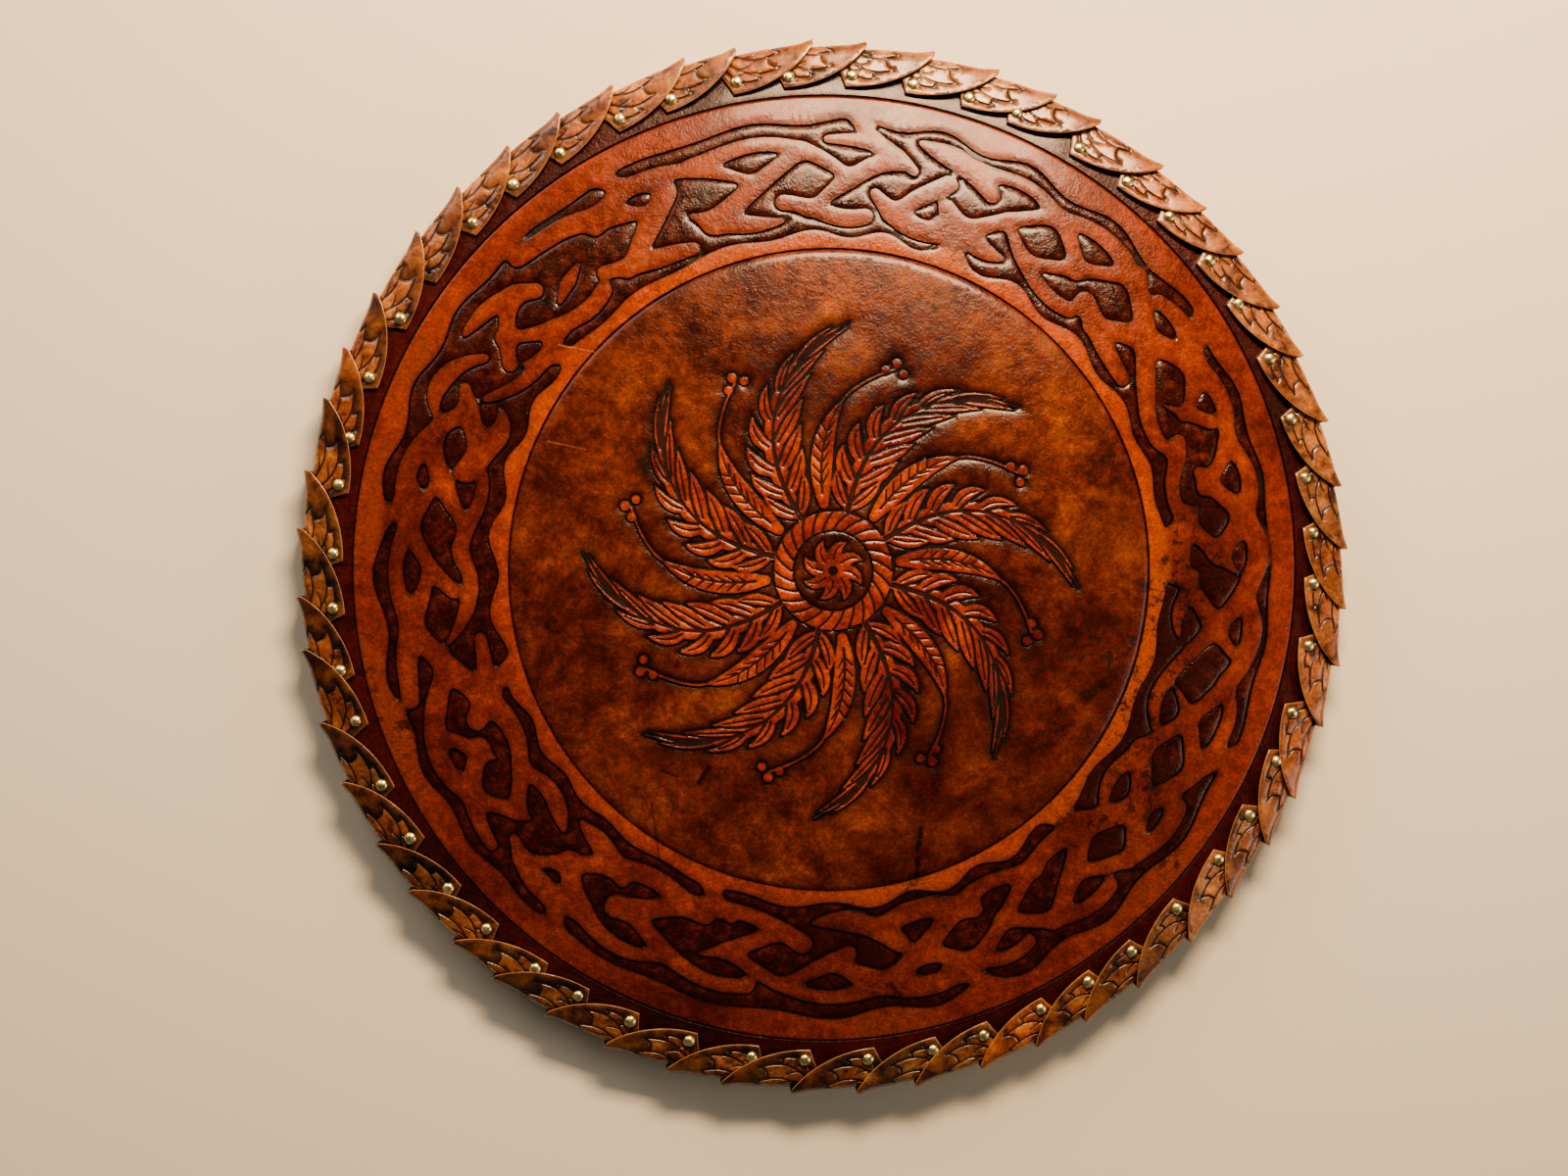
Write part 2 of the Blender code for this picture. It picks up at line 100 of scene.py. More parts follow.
def scattered(half, spacing, seed):
    """Points all over a square, in rows that are a little uneven, as fill between the drawn lines."""
    chance = np.random.default_rng(seed)
    steps = np.arange(-half, half, spacing)
    x, y = np.meshgrid(steps, steps * 0.87)
    x = x + (np.arange(len(steps)) % 2)[:, None] * spacing / 2
    fill = np.stack([x.ravel(), y.ravel()], axis=1)
    return fill + chance.uniform(-0.12, 0.12, fill.shape) * spacing


def flat_triangles(rim, lines, fill):
    """Triangles of a flat sheet inside its rim, with the lines as edges. The rim's points come first."""
    points, edges = [tuple(p) for p in rim], []
    edges += [(k, (k + 1) % len(rim)) for k in range(len(rim))]
    for line, closed in lines:
        first = len(points)
        points.extend(map(tuple, line))
        last = len(line) if closed else len(line) - 1
        edges.extend((first + k, first + (k + 1) % len(line)) for k in range(last))
    points.extend(map(tuple, fill))
    verts, _, faces, sources, _, _ = delaunay_2d_cdt(points, edges, [], 1, 1e-6)
    used = sorted({k for face in faces for k in face})
    order = {k: n for n, k in enumerate(used)}
    where = {source: order[k] for k in used for source in sources[k]}
    flat = np.array([tuple(verts[k]) for k in used])
    return flat, [tuple(order[k] for k in face) for face in faces], [where[k] for k in range(len(rim))]


def sheet_mesh(name, rim, lines, fill, back_fill, front, back, masks):
    """A closed sheet, with a worked front and a plain back. The masks are attributes of the front."""
    top, top_faces, top_rim = flat_triangles(rim, lines, fill)
    under, under_faces, under_rim = flat_triangles(rim, [], back_fill)
    shift = len(top)
    points = np.vstack([front(top), back(under)])
    faces = list(top_faces)
    faces += [tuple(shift + k for k in reversed(face)) for face in under_faces]
    for k in range(len(rim)):
        after = (k + 1) % len(rim)
        a, b = top_rim[k], top_rim[after]
        c, d = shift + under_rim[k], shift + under_rim[after]
        faces.append((a, c, d, b))
    mesh = bpy.data.meshes.new(name)
    mesh.from_pydata(points.tolist(), [], faces)
    for word, values in masks(top).items():
        layer = mesh.attributes.new(word, "FLOAT", "POINT")
        layer.data.foreach_set("value", np.concatenate([values, np.zeros(len(under))]).astype(np.float32))
    turned_right(mesh)
    mesh.shade_smooth()
    mesh.set_sharp_from_angle(angle=math.radians(48))
    mesh.update()
    return mesh


def turned_right(mesh):
    """Turns all faces outwards."""
    shape = bmesh.new()
    shape.from_mesh(mesh)
    bmesh.ops.recalc_face_normals(shape, faces=shape.faces)
    shape.to_mesh(mesh)
    shape.free()


def linear(code):
    """An sRGB hex value as a linear colour."""
    parts = [int(code[k : k + 2], 16) / 255 for k in (1, 3, 5)]
    return (*(p / 12.92 if p <= 0.04045 else ((p + 0.055) / 1.055) ** 2.4 for p in parts), 1.0)


def add(tree, kind, sockets, stops=(), **settings):
    """Adds a node, or takes one, with its settings and colour stops. Sockets go by name or in order."""
    made = tree.nodes.new("ShaderNode" + kind) if isinstance(kind, str) else kind
    for word, value in settings.items():
        setattr(made, word, value)
    for k, (at, code) in enumerate(stops):
        stop = made.color_ramp.elements[k] if k < 2 else made.color_ramp.elements.new(at)
        stop.position, stop.color = at, linear(code)
    working = [socket for socket in made.inputs if socket.enabled]
    named = {socket.name: socket for socket in reversed(working)}
    for word, value in sockets.items() if isinstance(sockets, dict) else enumerate(sockets):
        socket = named[word] if isinstance(word, str) else working[word]
        if isinstance(value, bpy.types.Node):
            value = next(output for output in value.outputs if output.enabled)
        if isinstance(value, bpy.types.NodeSocket):
            tree.links.new(value, socket)
        else:
            socket.default_value = value
    return made


def new_material(name):
    """A material, with its node tree and its surface shader."""
    made = bpy.data.materials.new(name)
    made.use_nodes = True
    return made, made.node_tree, made.node_tree.nodes["Principled BSDF"]


def place(name, mesh, material, slot, *nodes):
    """Puts a piece on the shield in place of its CAD nodes."""
    piece = bpy.data.objects.new(name, mesh)
    bpy.context.scene.collection.objects.link(piece)
    mesh.materials.append(material)
    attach(piece, "root")
    if nodes:
        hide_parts(*nodes)
    return piece


# Oak with a dark walnut stain, wiped on and left matt. Its grain runs the boards' length in rings 8 mm
# apart, and the stain sits in the pores, which are drawn 1 mm wide, coarser than they are, so as to show.
oak, tree, surface = new_material("stained_oak")
spot = add(tree, "TexCoord", {}).outputs["Object"]
run = add(tree, "Mapping", {"Vector": spot, "Scale": (0.03 / MM, 0.0016 / MM, 0.03 / MM)})
split = add(tree, "SeparateXYZ", (spot,))
plank = add(tree, "Math", (split.outputs["X"], PLANK), operation="DIVIDE")
plank = add(tree, "Math", (plank, 0.5), operation="ADD")
plank = add(tree, "Math", (plank,), operation="FLOOR")
tone = add(tree, "TexWhiteNoise", {"W": plank}, noise_dimensions="1D")
shift = add(tree, "VectorMath", (run, tone.outputs["Color"]), operation="ADD")
grain = {"Vector": shift, "Scale": 4.0, "Detail": 9.0, "Roughness": 0.68, "Distortion": 0.4}
stain = add(tree, "ValToRGB", (add(tree, "TexNoise", grain),), ((0.32, "#2a150c"), (0.7, "#6b3d20")))
worn = add(tree, "MapRange", (tone.outputs["Value"], 0.0, 1.0, 0.75, 1.15))
toned = add(tree, "VectorMath", (stain, worn), operation="SCALE")
pores = add(tree, "Mapping", {"Vector": spot, "Scale": (0.9 / MM, 0.028 / MM, 0.9 / MM)})
pores = add(tree, "TexNoise", {"Vector": pores, "Scale": 1.0, "Detail": 2.0})
bump = add(tree, "Bump", {"Height": pores, "Strength": 0.25, "Distance": 0.3 * MM})
add(tree, surface, {"Base Color": toned, "Normal": bump, "Roughness": 0.58})


def plank_seam(points):
    """How near a point is to a seam between planks, from 0 to 1."""
    off = np.abs(points[:, 0] / PLANK - 0.5 - np.round(points[:, 0] / PLANK - 0.5)) * PLANK
    return np.clip(1 - off / SEAM, 0, 1)


def board_back(points):
    """The board's back, with its seams and its rounded edge."""
    edge = np.hypot(points[:, 0], points[:, 1]) > BOARD_RADIUS - 0.5 * MM
    return dished(points[:, 0], points[:, 1], BOARD_UNDER + SEAM * plank_seam(points) + 2 * MM * edge)


seams = []
for k in range(-2, 4):
    x = (k - 0.5) * PLANK
    for off in (-SEAM, 0.0, SEAM):
        reach = math.sqrt((BOARD_RADIUS - 2.5 * MM) ** 2 - (x + off) ** 2)
        seams.append((np.array([(x + off, reach * t / 20) for t in range(-20, 21)]), False))
board_rim = round_line(BOARD_RADIUS, 9 * MM)
edge_lines = [(round_line(BOARD_RADIUS - 2 * MM, 9 * MM), True)]
loose = scattered(BOARD_RADIUS, 17 * MM, 3)
loose = loose[np.hypot(*loose.T) < BOARD_RADIUS - 6 * MM]
board_mesh = sheet_mesh(
    "board",
    board_rim,
    edge_lines + seams,
    loose,
    loose,
    board_back,
    lambda p: dished(p[:, 0], p[:, 1], np.full(len(p), BOARD_TOP - 0.4 * MM)),
    lambda p: {},
)
place("oak_board", board_mesh, oak, "stained_wood", "wood_board")


# The carved face
# One sheet of vegetable-tanned leather, cut with a knife and pressed down beside the cuts with modelling
# tools while damp. The knotwork's ribbons stay at full height, and the ground between them is padded.
LEATHER = 3.2 * MM
FACE_TOP = FACE_BACK + LEATHER
GROOVE_RADIUS = BOARD_RADIUS - 25.2 * MM
GROUND_OUTER = GROOVE_RADIUS - 14.8 * MM
GROUND_INNER = GROUND_OUTER - 65 * MM
DISC_RADIUS = GROUND_INNER - 8.5 * MM
PLAIT_WAVES = 7
STRANDS = 4
RIBBON = 5.1 * MM
CHANNEL = 4.8 * MM
FILLET = 5.0 * MM
CORNER_ROUNDING = 2.6 * MM
BORDER_WAVE = 2.2 * MM
NO_STROKE = -50 * MM
PRESSED = 1.3 * MM
WALL_RUN = 0.4 * MM
BEVEL_SLOPE = 0.46
HUB = 34 * MM
ROSETTE_RADIUS = 140 * MM
ROSETTE_LEAVES = 8


def stretched(turn):
    """How far round the hand's spacing shifts what was spaced evenly."""
    return 0.045 * np.sin(2 * turn + 0.6) + 0.03 * np.sin(5 * turn + 2.1)


def plait_point(strand, turn, drift, aside):
    """A point of a ribbon's middle line, this far aside of its wave."""
    middle = (GROUND_INNER + GROUND_OUTER) / 2
    swing = (GROUND_OUTER - GROUND_INNER) / 2 - CHANNEL - RIBBON
    wave = math.sin(PLAIT_WAVES * turn + strand * math.pi / 2)
    wander = 1.9 * MM * math.sin(3 * turn + drift) * math.cos(5 * turn + strand)
    return polar(middle + swing * wave + wander + aside, turn + stretched(turn))


def plait_breaks(strand, rng):
    """Where a ribbon stops and goes on at the crossings that it passes under, as angles."""
    middle = (GROUND_INNER + GROUND_OUTER) / 2
    away = (2.35 * RIBBON + 2.6 * MM) / middle * 0.92
    breaks = []
    for eighth in range(8 * PLAIT_WAVES):
        phase = eighth * math.pi / 4
        wave = phase + strand * math.pi / 2
        middle_row = abs(math.sin(wave)) < 0.05
        side_row = abs(abs(math.sin(wave)) - math.sqrt(0.5)) < 0.05
        if not ((math.cos(wave) > 0.05 and side_row) or (math.cos(wave) < -0.05 and middle_row)):
            continue
        kind = rng.choice(("join", "join", "both", "before", "before", "after", "after"))
        turn = phase / PLAIT_WAVES
        near = away * rng.uniform(0.9, 1.25) if kind in ("both", "before") else 0.0
        far = away * rng.uniform(0.9, 1.25) if kind in ("both", "after") else 0.0
        if kind != "join":
            breaks.append((turn - near, turn + far))
    return sorted(breaks)


def plait_strokes():
    """The ribbons as (points, radii), each broken off where it passes under another one."""
    rng = random.Random(23)
    middle = (GROUND_INNER + GROUND_OUTER) / 2
    strokes = []
    for strand in range(STRANDS):
        drift = rng.uniform(0, 6.28)
        girth = RIBBON * rng.uniform(0.9, 1.05)
        breaks = plait_breaks(strand, rng)
        for (_, start), (stop, _) in zip(breaks, breaks[1:] + [(breaks[0][0] + 2 * math.pi, 0)]):
            count = max(4, round((stop - start) * middle / (3.2 * MM)))
            hooks = [rng.uniform(-5, 5) * MM for _ in range(2)]
            tapers = [rng.choice((-0.12, 0.15, 0.45, 0.75)) for _ in range(2)]
            points, radii = [], []
            for i in range(count + 1):
                share = i / count
                turn = start + (stop - start) * share
                tip = int(share > 0.5)
                length = min(share, 1 - share) * (stop - start) * middle
                end = max(0.0, 1 - length / (20 * MM))
                points.append(plait_point(strand, turn, drift, hooks[tip] * end**2.2))
                swell = 1 + 0.2 * math.sin(9 * turn + drift)
                radii.append(girth * swell * (1 - tapers[tip] * end**1.6))
            strokes.append((points, radii))
    for spur in range(13):
        turn = 2 * math.pi * (spur + rng.uniform(-0.3, 0.3)) / 13
        near, far, lean = GROUND_OUTER + 2 * MM, GROUND_OUTER - 17 * MM, 0.09
        if spur % 2:
            near, far, lean = GROUND_INNER - 2 * MM, GROUND_INNER + 17 * MM, -0.09
        points = [polar(near + (far - near) * k / 5, turn + lean * (k / 5) ** 1.5) for k in range(6)]
        strokes.append((points, [RIBBON * (1.05 - 0.16 * k) for k in range(6)]))
    return strokes


def leaf_half(share):
    """Half a leaf's width at this share of its length."""
    return 21 * MM * math.sin(math.pi * share**0.75) ** 0.8 * (1 - 0.35 * share)


def leaf_spot(base, share, aside=0.0):
    """A point on a leaf's curved midrib, or this far aside of it."""
    radius = HUB + (ROSETTE_RADIUS - HUB) * share
    return polar(radius, base + 0.62 * share * share + aside / radius)


def lobe(base, root, side, length, reach, girth):
    """One lobe of a leaf: its body, its vein, and the cut on the side where it lies over the next one."""
    body, radii, near_edge = [], [], []
    for k in range(10):
        t = k / 9
        aside = reach * (math.sin(math.pi / 2 * t**0.85) + 0.14 * t**5)
        body.append(leaf_spot(base, root + length * t, side * aside))
        radii.append(girth * math.sin(math.pi * (0.18 + 0.8 * t)) ** 0.9)
    for k in range(1, 9):
        dx, dy = body[k + 1][0] - body[k - 1][0], body[k + 1][1] - body[k - 1][1]
        size = math.hypot(dx, dy)
        off = side * (radii[k] - 0.2 * MM) / size
        near_edge.append((body[k][0] - dy * off, body[k][1] + dx * off))
    vein = (body[1:8], [0.5 * MM - 0.04 * MM * k for k in range(7)])
    return (body, radii), [vein, (near_edge, [0.8 * MM - 0.05 * MM * k for k in range(8)])]


def rosette_strokes():
    """The rosette as (points, radii): first what stays at full height, then the cuts across it."""
    flats, cuts = [], []
    for leaf in range(ROSETTE_LEAVES):
        base = 2 * math.pi * (leaf + 0.3) / ROSETTE_LEAVES
        spine = [leaf_spot(base, k / 16) for k in range(17)]
        flats.append((spine, [max(0.4 * MM, 0.3 * leaf_half(max(k, 0.6) / 16)) for k in range(17)]))
        for off in (-0.9, 0.9):
            rib = [leaf_spot(base, 0.9 * k / 14, off * MM * (1 - k / 15)) for k in range(15)]
            cuts.append((rib, [0.5 * MM * (1 - k / 20) for k in range(15)]))
        for side in (-1, 1):
            for number in range(7):
                root = 0.02 + 0.125 * number
                reach = 0.8 * leaf_half(min(0.95, root + 0.12))
                girth = 1.4 * MM + 0.2 * reach
                body, scores = lobe(base, root, side, min(0.2, 0.97 - root), reach, girth)
                flats.append(body)
                cuts.extend(scores)
        between = base + math.pi / ROSETTE_LEAVES + 0.02
        root, length = HUB + 4 * MM, 58 * MM
        short = [polar(root + length * k / 10, between + 0.2 * (k / 10) ** 2) for k in range(11)]
        swells = [math.sin(math.pi * (0.14 + 0.85 * k / 10)) ** 0.85 for k in range(11)]
        flats.append((short, [6.4 * MM * swell for swell in swells]))
        cuts.append((short[1:10], [0.6 * MM * (1 - k / 11) for k in range(9)]))
        for notch in range(2, 8):
            radius, turn = root + length * notch / 10, between + 0.2 * (notch / 10) ** 2
            for side in (-1, 1):
                turns = [turn + side * (0.8 + 1.0 * k) * MM / radius for k in range(4)]
                barb = [polar(radius + 1.6 * MM * k, turns[k]) for k in range(4)]
                cuts.append((barb, [0.35 * MM, 0.32 * MM, 0.28 * MM, 0.2 * MM]))
        turns = [between + 0.2 + 0.24 * (k / 8) ** 1.2 for k in range(9)]
        stem = [polar(root + length + 22 * MM * k / 8, turns[k]) for k in range(9)]
        flats.append((stem, [0.9 * MM] * 9))
        for ahead, aside, girth in ((3.6, 0.0, 3.0), (-1.0, 5.2, 2.7), (-1.6, -5.0, 2.7)):
            radius = math.hypot(*stem[8]) + ahead * MM
            middle = polar(radius, math.atan2(*stem[8]) + aside * MM / radius)
            flats.append(([middle, (middle[0] + 0.1 * MM, middle[1])], [girth * MM] * 2))
    rope = [polar(HUB - 6 * MM, 2 * math.pi * k / 48) for k in range(49)]
    flats.append((rope, [5.4 * MM] * 49))
    for twist in range(24):
        turn = 2 * math.pi * twist / 24
        strand = [polar(HUB - 11 * MM + 10 * MM * k / 6, turn + 0.26 * k / 6) for k in range(7)]
        cuts.append((strand, [0.5 * MM] * 7))
    for petal in range(8):
        turn = math.pi * petal / 4
        body = [polar(4 * MM + 13.5 * MM * k / 6, turn + 0.45 * (k / 6) ** 2) for k in range(7)]
        flats.append((body, [3.8 * MM * math.sin(math.pi * (0.16 + 0.8 * k / 6)) for k in range(7)]))
        cuts.append((body[1:6], [0.4 * MM - 0.05 * MM * k for k in range(5)]))
    return flats, cuts


def join_stroke(field, xs, ys, points, radii, fillet):
    """Raises the field to a stroke's, with a fillet where they meet."""
    pts, rad = np.array(points), np.array(radii)
    step = xs[1] - xs[0]
    margin = rad.max() + 8 * MM
    low = np.floor((pts.min(0) - margin - (xs[0], ys[0])) / step).astype(int).clip(0)
    high = np.ceil((pts.max(0) + margin - (xs[0], ys[0])) / step).astype(int) + 1
    cols, rows = slice(low[0], high[0]), slice(low[1], high[1])
    x, y = np.meshgrid(xs[cols], ys[rows])
    own = np.full(x.shape, -1.0)
    for (ax, ay), (bx, by), ra, rb in zip(pts[:-1], pts[1:], rad[:-1], rad[1:]):
        dx, dy = bx - ax, by - ay
        t = (((x - ax) * dx + (y - ay) * dy) / (dx * dx + dy * dy)).clip(0, 1)
        own = np.maximum(own, ra + (rb - ra) * t - np.hypot(x - ax - dx * t, y - ay - dy * t))
    there = field[rows, cols]
    near = (1 - np.abs(there - own) / fillet).clip(0)
    field[rows, cols] = np.maximum(there, own) + near * near * fillet / 4


def softened(field, step):
    """The field with its corners rounded, as the knife and the pressing tool round them."""
    reach = round(CORNER_ROUNDING / step)
    weights = np.hanning(2 * reach + 3)[1:-1]
    weights /= weights.sum()
    field = np.clip(field, -2 * CORNER_ROUNDING, 2 * CORNER_ROUNDING)
    for axis in (0, 1):
        field = np.apply_along_axis(np.convolve, axis, field, weights, "same")
    return field


def contours(xs, ys, field, level, slack):
    """The closed lines where the field crosses the level, as (points, True), thinned within the slack."""
    over = field > level
    over[[0, -1]] = over[:, [0, -1]] = False
    cell = over[:-1, :-1] + 2 * over[:-1, 1:] + 4 * over[1:, 1:] + 8 * over[1:, :-1]
    sides = {1: "LB", 2: "BR", 3: "LR", 4: "RT", 6: "BT", 7: "LT"}
    sides |= {8: "TL", 9: "TB", 11: "TR", 12: "RL", 13: "RB", 14: "BL"}
    split = {5: ("LB", "RT"), 10: ("BR", "TL")}
    follow = {}
    for i, j in np.argwhere((cell > 0) & (cell < 15)).tolist():
        name = {"B": (i, j, 0), "T": (i + 1, j, 0), "L": (i, j, 1), "R": (i, j + 1, 1)}
        code = int(cell[i, j])
        for a, b in split[code] if code in split else (sides[code],):
            follow[name[a]] = name[b]
    loops = []
    step = xs[1] - xs[0]
    while follow:
        start, after = follow.popitem()
        loop = [start]
        while after != start:
            loop.append(after)
            after = follow.pop(after)
        points = []
        for i, j, upright in loop:
            a, b = field[i, j], field[i + upright, j + 1 - upright]
            share = min(max((level - a) / (b - a), 0.02), 0.98)
            points.append((xs[j] + step * share * (1 - upright), ys[i] + step * share * upright))
        line = thinned(np.array(points), slack)
        if len(line) > 3:
            loops.append((line, True))
    return loops


def thinned(points, slack):
    """A closed line without the points that lie within the slack of the rest."""
    kept = np.zeros(len(points), bool)
    far = int(np.argmax(np.hypot(*(points - points[0]).T)))
    kept[[0, far]] = True
    ring = np.vstack([points, points[:1]])
    stack = [(0, far), (far, len(points))]
    while stack:
        a, b = stack.pop()
        if b - a < 2:
            continue
        chord = ring[b] - ring[a]
        off = ring[a + 1 : b] - ring[a]
        distance = np.abs(chord[0] * off[:, 1] - chord[1] * off[:, 0]) / (np.hypot(*chord) + 1e-12)
        worst = int(np.argmax(distance))
        if distance[worst] > slack or b - a > 24:
            middle = a + 1 + worst if distance[worst] > slack else (a + b) // 2
            kept[middle] = True
            stack += [(a, middle), (middle, b)]
    return points[kept]


def sampled(xs, ys, field, points):
    """The field at scattered points."""
    step = xs[1] - xs[0]
    at = ((points - (xs[0], ys[0])) / step).astype(float)
    inside = (at >= 0).all(axis=1) & (at[:, 0] < len(xs) - 1.001) & (at[:, 1] < len(ys) - 1.001)
    cell = np.floor(np.clip(at, 0, [len(xs) - 2, len(ys) - 2])).astype(int)
    part = np.clip(at - cell, 0, 1)
    j, i = cell.T
    a, b = part.T
    low = field[i, j] * (1 - a) + field[i, j + 1] * a
    high = field[i + 1, j] * (1 - a) + field[i + 1, j + 1] * a
    return np.where(inside, low * (1 - b) + high * b, NO_STROKE)


xs = np.arange(-262 * MM, 262 * MM, 0.5 * MM)
gx, gy = np.meshgrid(xs, xs)
radius, turn = np.hypot(gx, gy), np.arctan2(gx, gy)
sway = BORDER_WAVE * (1 + 0.5 * np.sin(3 * turn)) * np.cos(STRANDS * PLAIT_WAVES * (turn - stretched(turn)))
raised = np.maximum(radius - GROUND_OUTER - sway, GROUND_INNER - sway - radius)
for points, radii in plait_strokes():
    join_stroke(raised, xs, xs, points, radii, FILLET)
ground = -softened(raised, xs[1] - xs[0])

ms = np.arange(-158 * MM, 158 * MM, 0.35 * MM)
flats_field = np.full((len(ms), len(ms)), NO_STROKE)
veins_field = np.full((len(ms), len(ms)), NO_STROKE)
flats, veins = rosette_strokes()
for points, radii in flats:
    join_stroke(flats_field, ms, ms, points, radii, 0.8 * MM)
for points, radii in veins:
    join_stroke(veins_field, ms, ms, points, radii, 0.2 * MM)


def eased(value, start, stop):
    """0 before the start and 1 after the stop, with a soft run between them."""
    t = np.clip((value - start) / (stop - start), 0, 1)
    return t * t * (3 - 2 * t)


def face_fields(points):
    """The carving at each point: how far into a pocket, a leaf and a vein it is, and its radius."""
    return (
        sampled(xs, xs, ground, points),
        sampled(ms, ms, flats_field, points),
        sampled(ms, ms, veins_field, points),
        np.hypot(points[:, 0], points[:, 1]),
    )


def face_height(points):
    """How far the leather's surface lies below or above its flat level."""
    pocket, flat, vein, r = face_fields(points)
    z = -0.22 * MM * eased(pocket, -2.2 * MM, 0) * (r > DISC_RADIUS)
    z -= PRESSED * eased(pocket, -0.02 * MM, WALL_RUN)
    bevel = np.clip(pocket - WALL_RUN, 0, 1)
    pad = 1 - np.exp(-np.clip(bevel - 0.9 * MM, 0, 1) / (1.5 * MM))
    z += BEVEL_SLOPE * np.minimum(bevel, 1 * MM) + 0.36 * MM * pad
    beside, inward = np.clip(-flat, 0, 1), np.clip(flat, 0, 1)
    sunk = 1.0 * MM * np.exp(-beside / (2.6 * MM)) * eased(beside, 0, 0.35 * MM)
    z -= np.where(flat < 0, sunk + 0.25 * MM * np.exp(-beside / (2.0 * MM)), 0)
    z -= np.where(flat >= 0, 0.25 * MM * np.exp(-inward / (0.6 * MM)), 0)
    z -= 0.5 * MM * eased(vein, -0.45 * MM, 0.1 * MM)
    z -= 0.85 * MM * np.clip(1 - np.abs(r - GROOVE_RADIUS) / (0.75 * MM), 0, 1)
    z -= 0.25 * MM * np.exp(-np.abs(r - GROOVE_RADIUS) / (2.2 * MM))
    step = np.clip(DISC_RADIUS - r, 0, 1)
    dip = 0.5 * MM * np.exp(-np.clip(step - WALL_RUN, 0, 1) / (6.5 * MM))
    sunk = 0.3 * np.clip(3 * MM - step, 0, 1) + dip
    z -= np.where(r < DISC_RADIUS, eased(step, 0, WALL_RUN) * sunk, 0)
    z -= 0.2 * MM * np.exp(-np.abs(r - DISC_RADIUS) / (1.6 * MM))
    z -= 1.6 * MM * eased(r, BOARD_RADIUS - 2.6 * MM, BOARD_RADIUS)
    broad = np.array([noise.noise((x * 22, y * 22, 3.0)) for x, y in points])
    fine = np.array([noise.noise((x * 75, y * 75, 9.0)) for x, y in points])
    return z + 0.16 * MM * (broad + 0.5 * fine) * eased(BOARD_RADIUS - r, 0, 20 * MM)


def face_masks(points):
    """Where the face's surface is ground, cut, leaf or shaded, from 0 to 1."""
    pocket, flat, vein, r = face_fields(points)
    cut = np.exp(-np.abs(pocket - 0.3 * MM) / (0.45 * MM))
    cut = np.maximum(cut, np.exp(-np.abs(r - GROOVE_RADIUS) / (0.5 * MM)))
    cut = np.maximum(cut, np.exp(-np.abs(r - DISC_RADIUS + 0.4 * MM) / (0.5 * MM)))
    below, above = np.clip(flat, -1, 0), np.clip(flat, 0, 1)
    cut = np.maximum(cut, np.where(flat < 0, np.exp(below / (1.5 * MM)), np.exp(-above / (0.35 * MM))))
    cut = np.maximum(cut, eased(vein, -0.5 * MM, 0.05 * MM) * 0.9)
    shade = np.where(pocket < 0, 0.45 * np.exp(np.clip(pocket, -1, 0) / (1.7 * MM)), 0.0)
    shade = shade * (r > DISC_RADIUS + 1 * MM)
    shade = np.maximum(shade, 0.75 * np.exp(below / (3.2 * MM)) * (flat < 0) * (r < DISC_RADIUS))
    leaf = eased(flat, -0.1 * MM, 0.3 * MM)
    return {"ground": eased(pocket, 0, 0.35 * MM), "cut": cut, "leaf": leaf, "shade": shade}


lines = []
for at, field, levels in (
    (xs, ground, (-2.2, -0.7, 0.0, 0.4, 0.9, 1.7, 3.6)),
    (ms, flats_field, (-4.5, -1.6, -0.35, 0.0, 0.7)),
    (ms, veins_field, (-0.45, 0.0)),
):
    for level in levels:
        lines += contours(at, at, field, level * MM, 0.05 * MM)
for r in (GROOVE_RADIUS, DISC_RADIUS):
    for off in (-7.0, -3.0, -1.6, -0.8, -0.4, 0.0, 0.75, 2.4):
        lines.append((round_line(r, 2.2 * MM) * (1 + off * MM / r), True))
for off in (2.6, 1.7, 0.8):
    lines.append((round_line(BOARD_RADIUS - off * MM, 6 * MM), True))
fill = scattered(BOARD_RADIUS, 4.6 * MM, 7)
out = np.hypot(*fill.T)
from_cuts = np.minimum(np.abs(out - GROOVE_RADIUS), np.abs(out - DISC_RADIUS))
fill = fill[(out < BOARD_RADIUS - 4 * MM) & (from_cuts > 4 * MM)]
beside = sampled(xs, xs, ground, fill)
fill = fill[(beside < -1.2 * MM) | (beside > 2.4 * MM)]
back_fill = scattered(BOARD_RADIUS, 24 * MM, 8)
back_fill = back_fill[np.hypot(*back_fill.T) < BOARD_RADIUS - 9 * MM]
face_mesh = sheet_mesh(
    "carved_face",
    round_line(BOARD_RADIUS, 6 * MM),
    lines,
    fill,
    back_fill,
    lambda p: dished(p[:, 0], p[:, 1], FACE_TOP + face_height(p)),
    lambda p: dished(p[:, 0], p[:, 1], np.full(len(p), FACE_BACK)),
    face_masks,
)


def drag_mark(tree, flat_at, start, end, width):
    """How near the surface is to a straight mark on the face, from 0 to 1."""
    way = Vector((end[0] - start[0], end[1] - start[1], 0)) * MM
    origin = (start[0] * MM, start[1] * MM, 0)
    off = add(tree, "VectorMath", (flat_at, origin), operation="SUBTRACT")
    along = add(tree, "VectorMath", (off, way / way.length_squared), operation="DOT_PRODUCT")
    share = add(tree, "Clamp", (along,))
    foot = add(tree, "VectorMath", (way, share), operation="SCALE")
    far = add(tree, "VectorMath", (off, foot), operation="DISTANCE")
    return add(tree, "MapRange", (far, 0.2 * width * MM, width * MM, 1.0, 0.0), **SMOOTH)


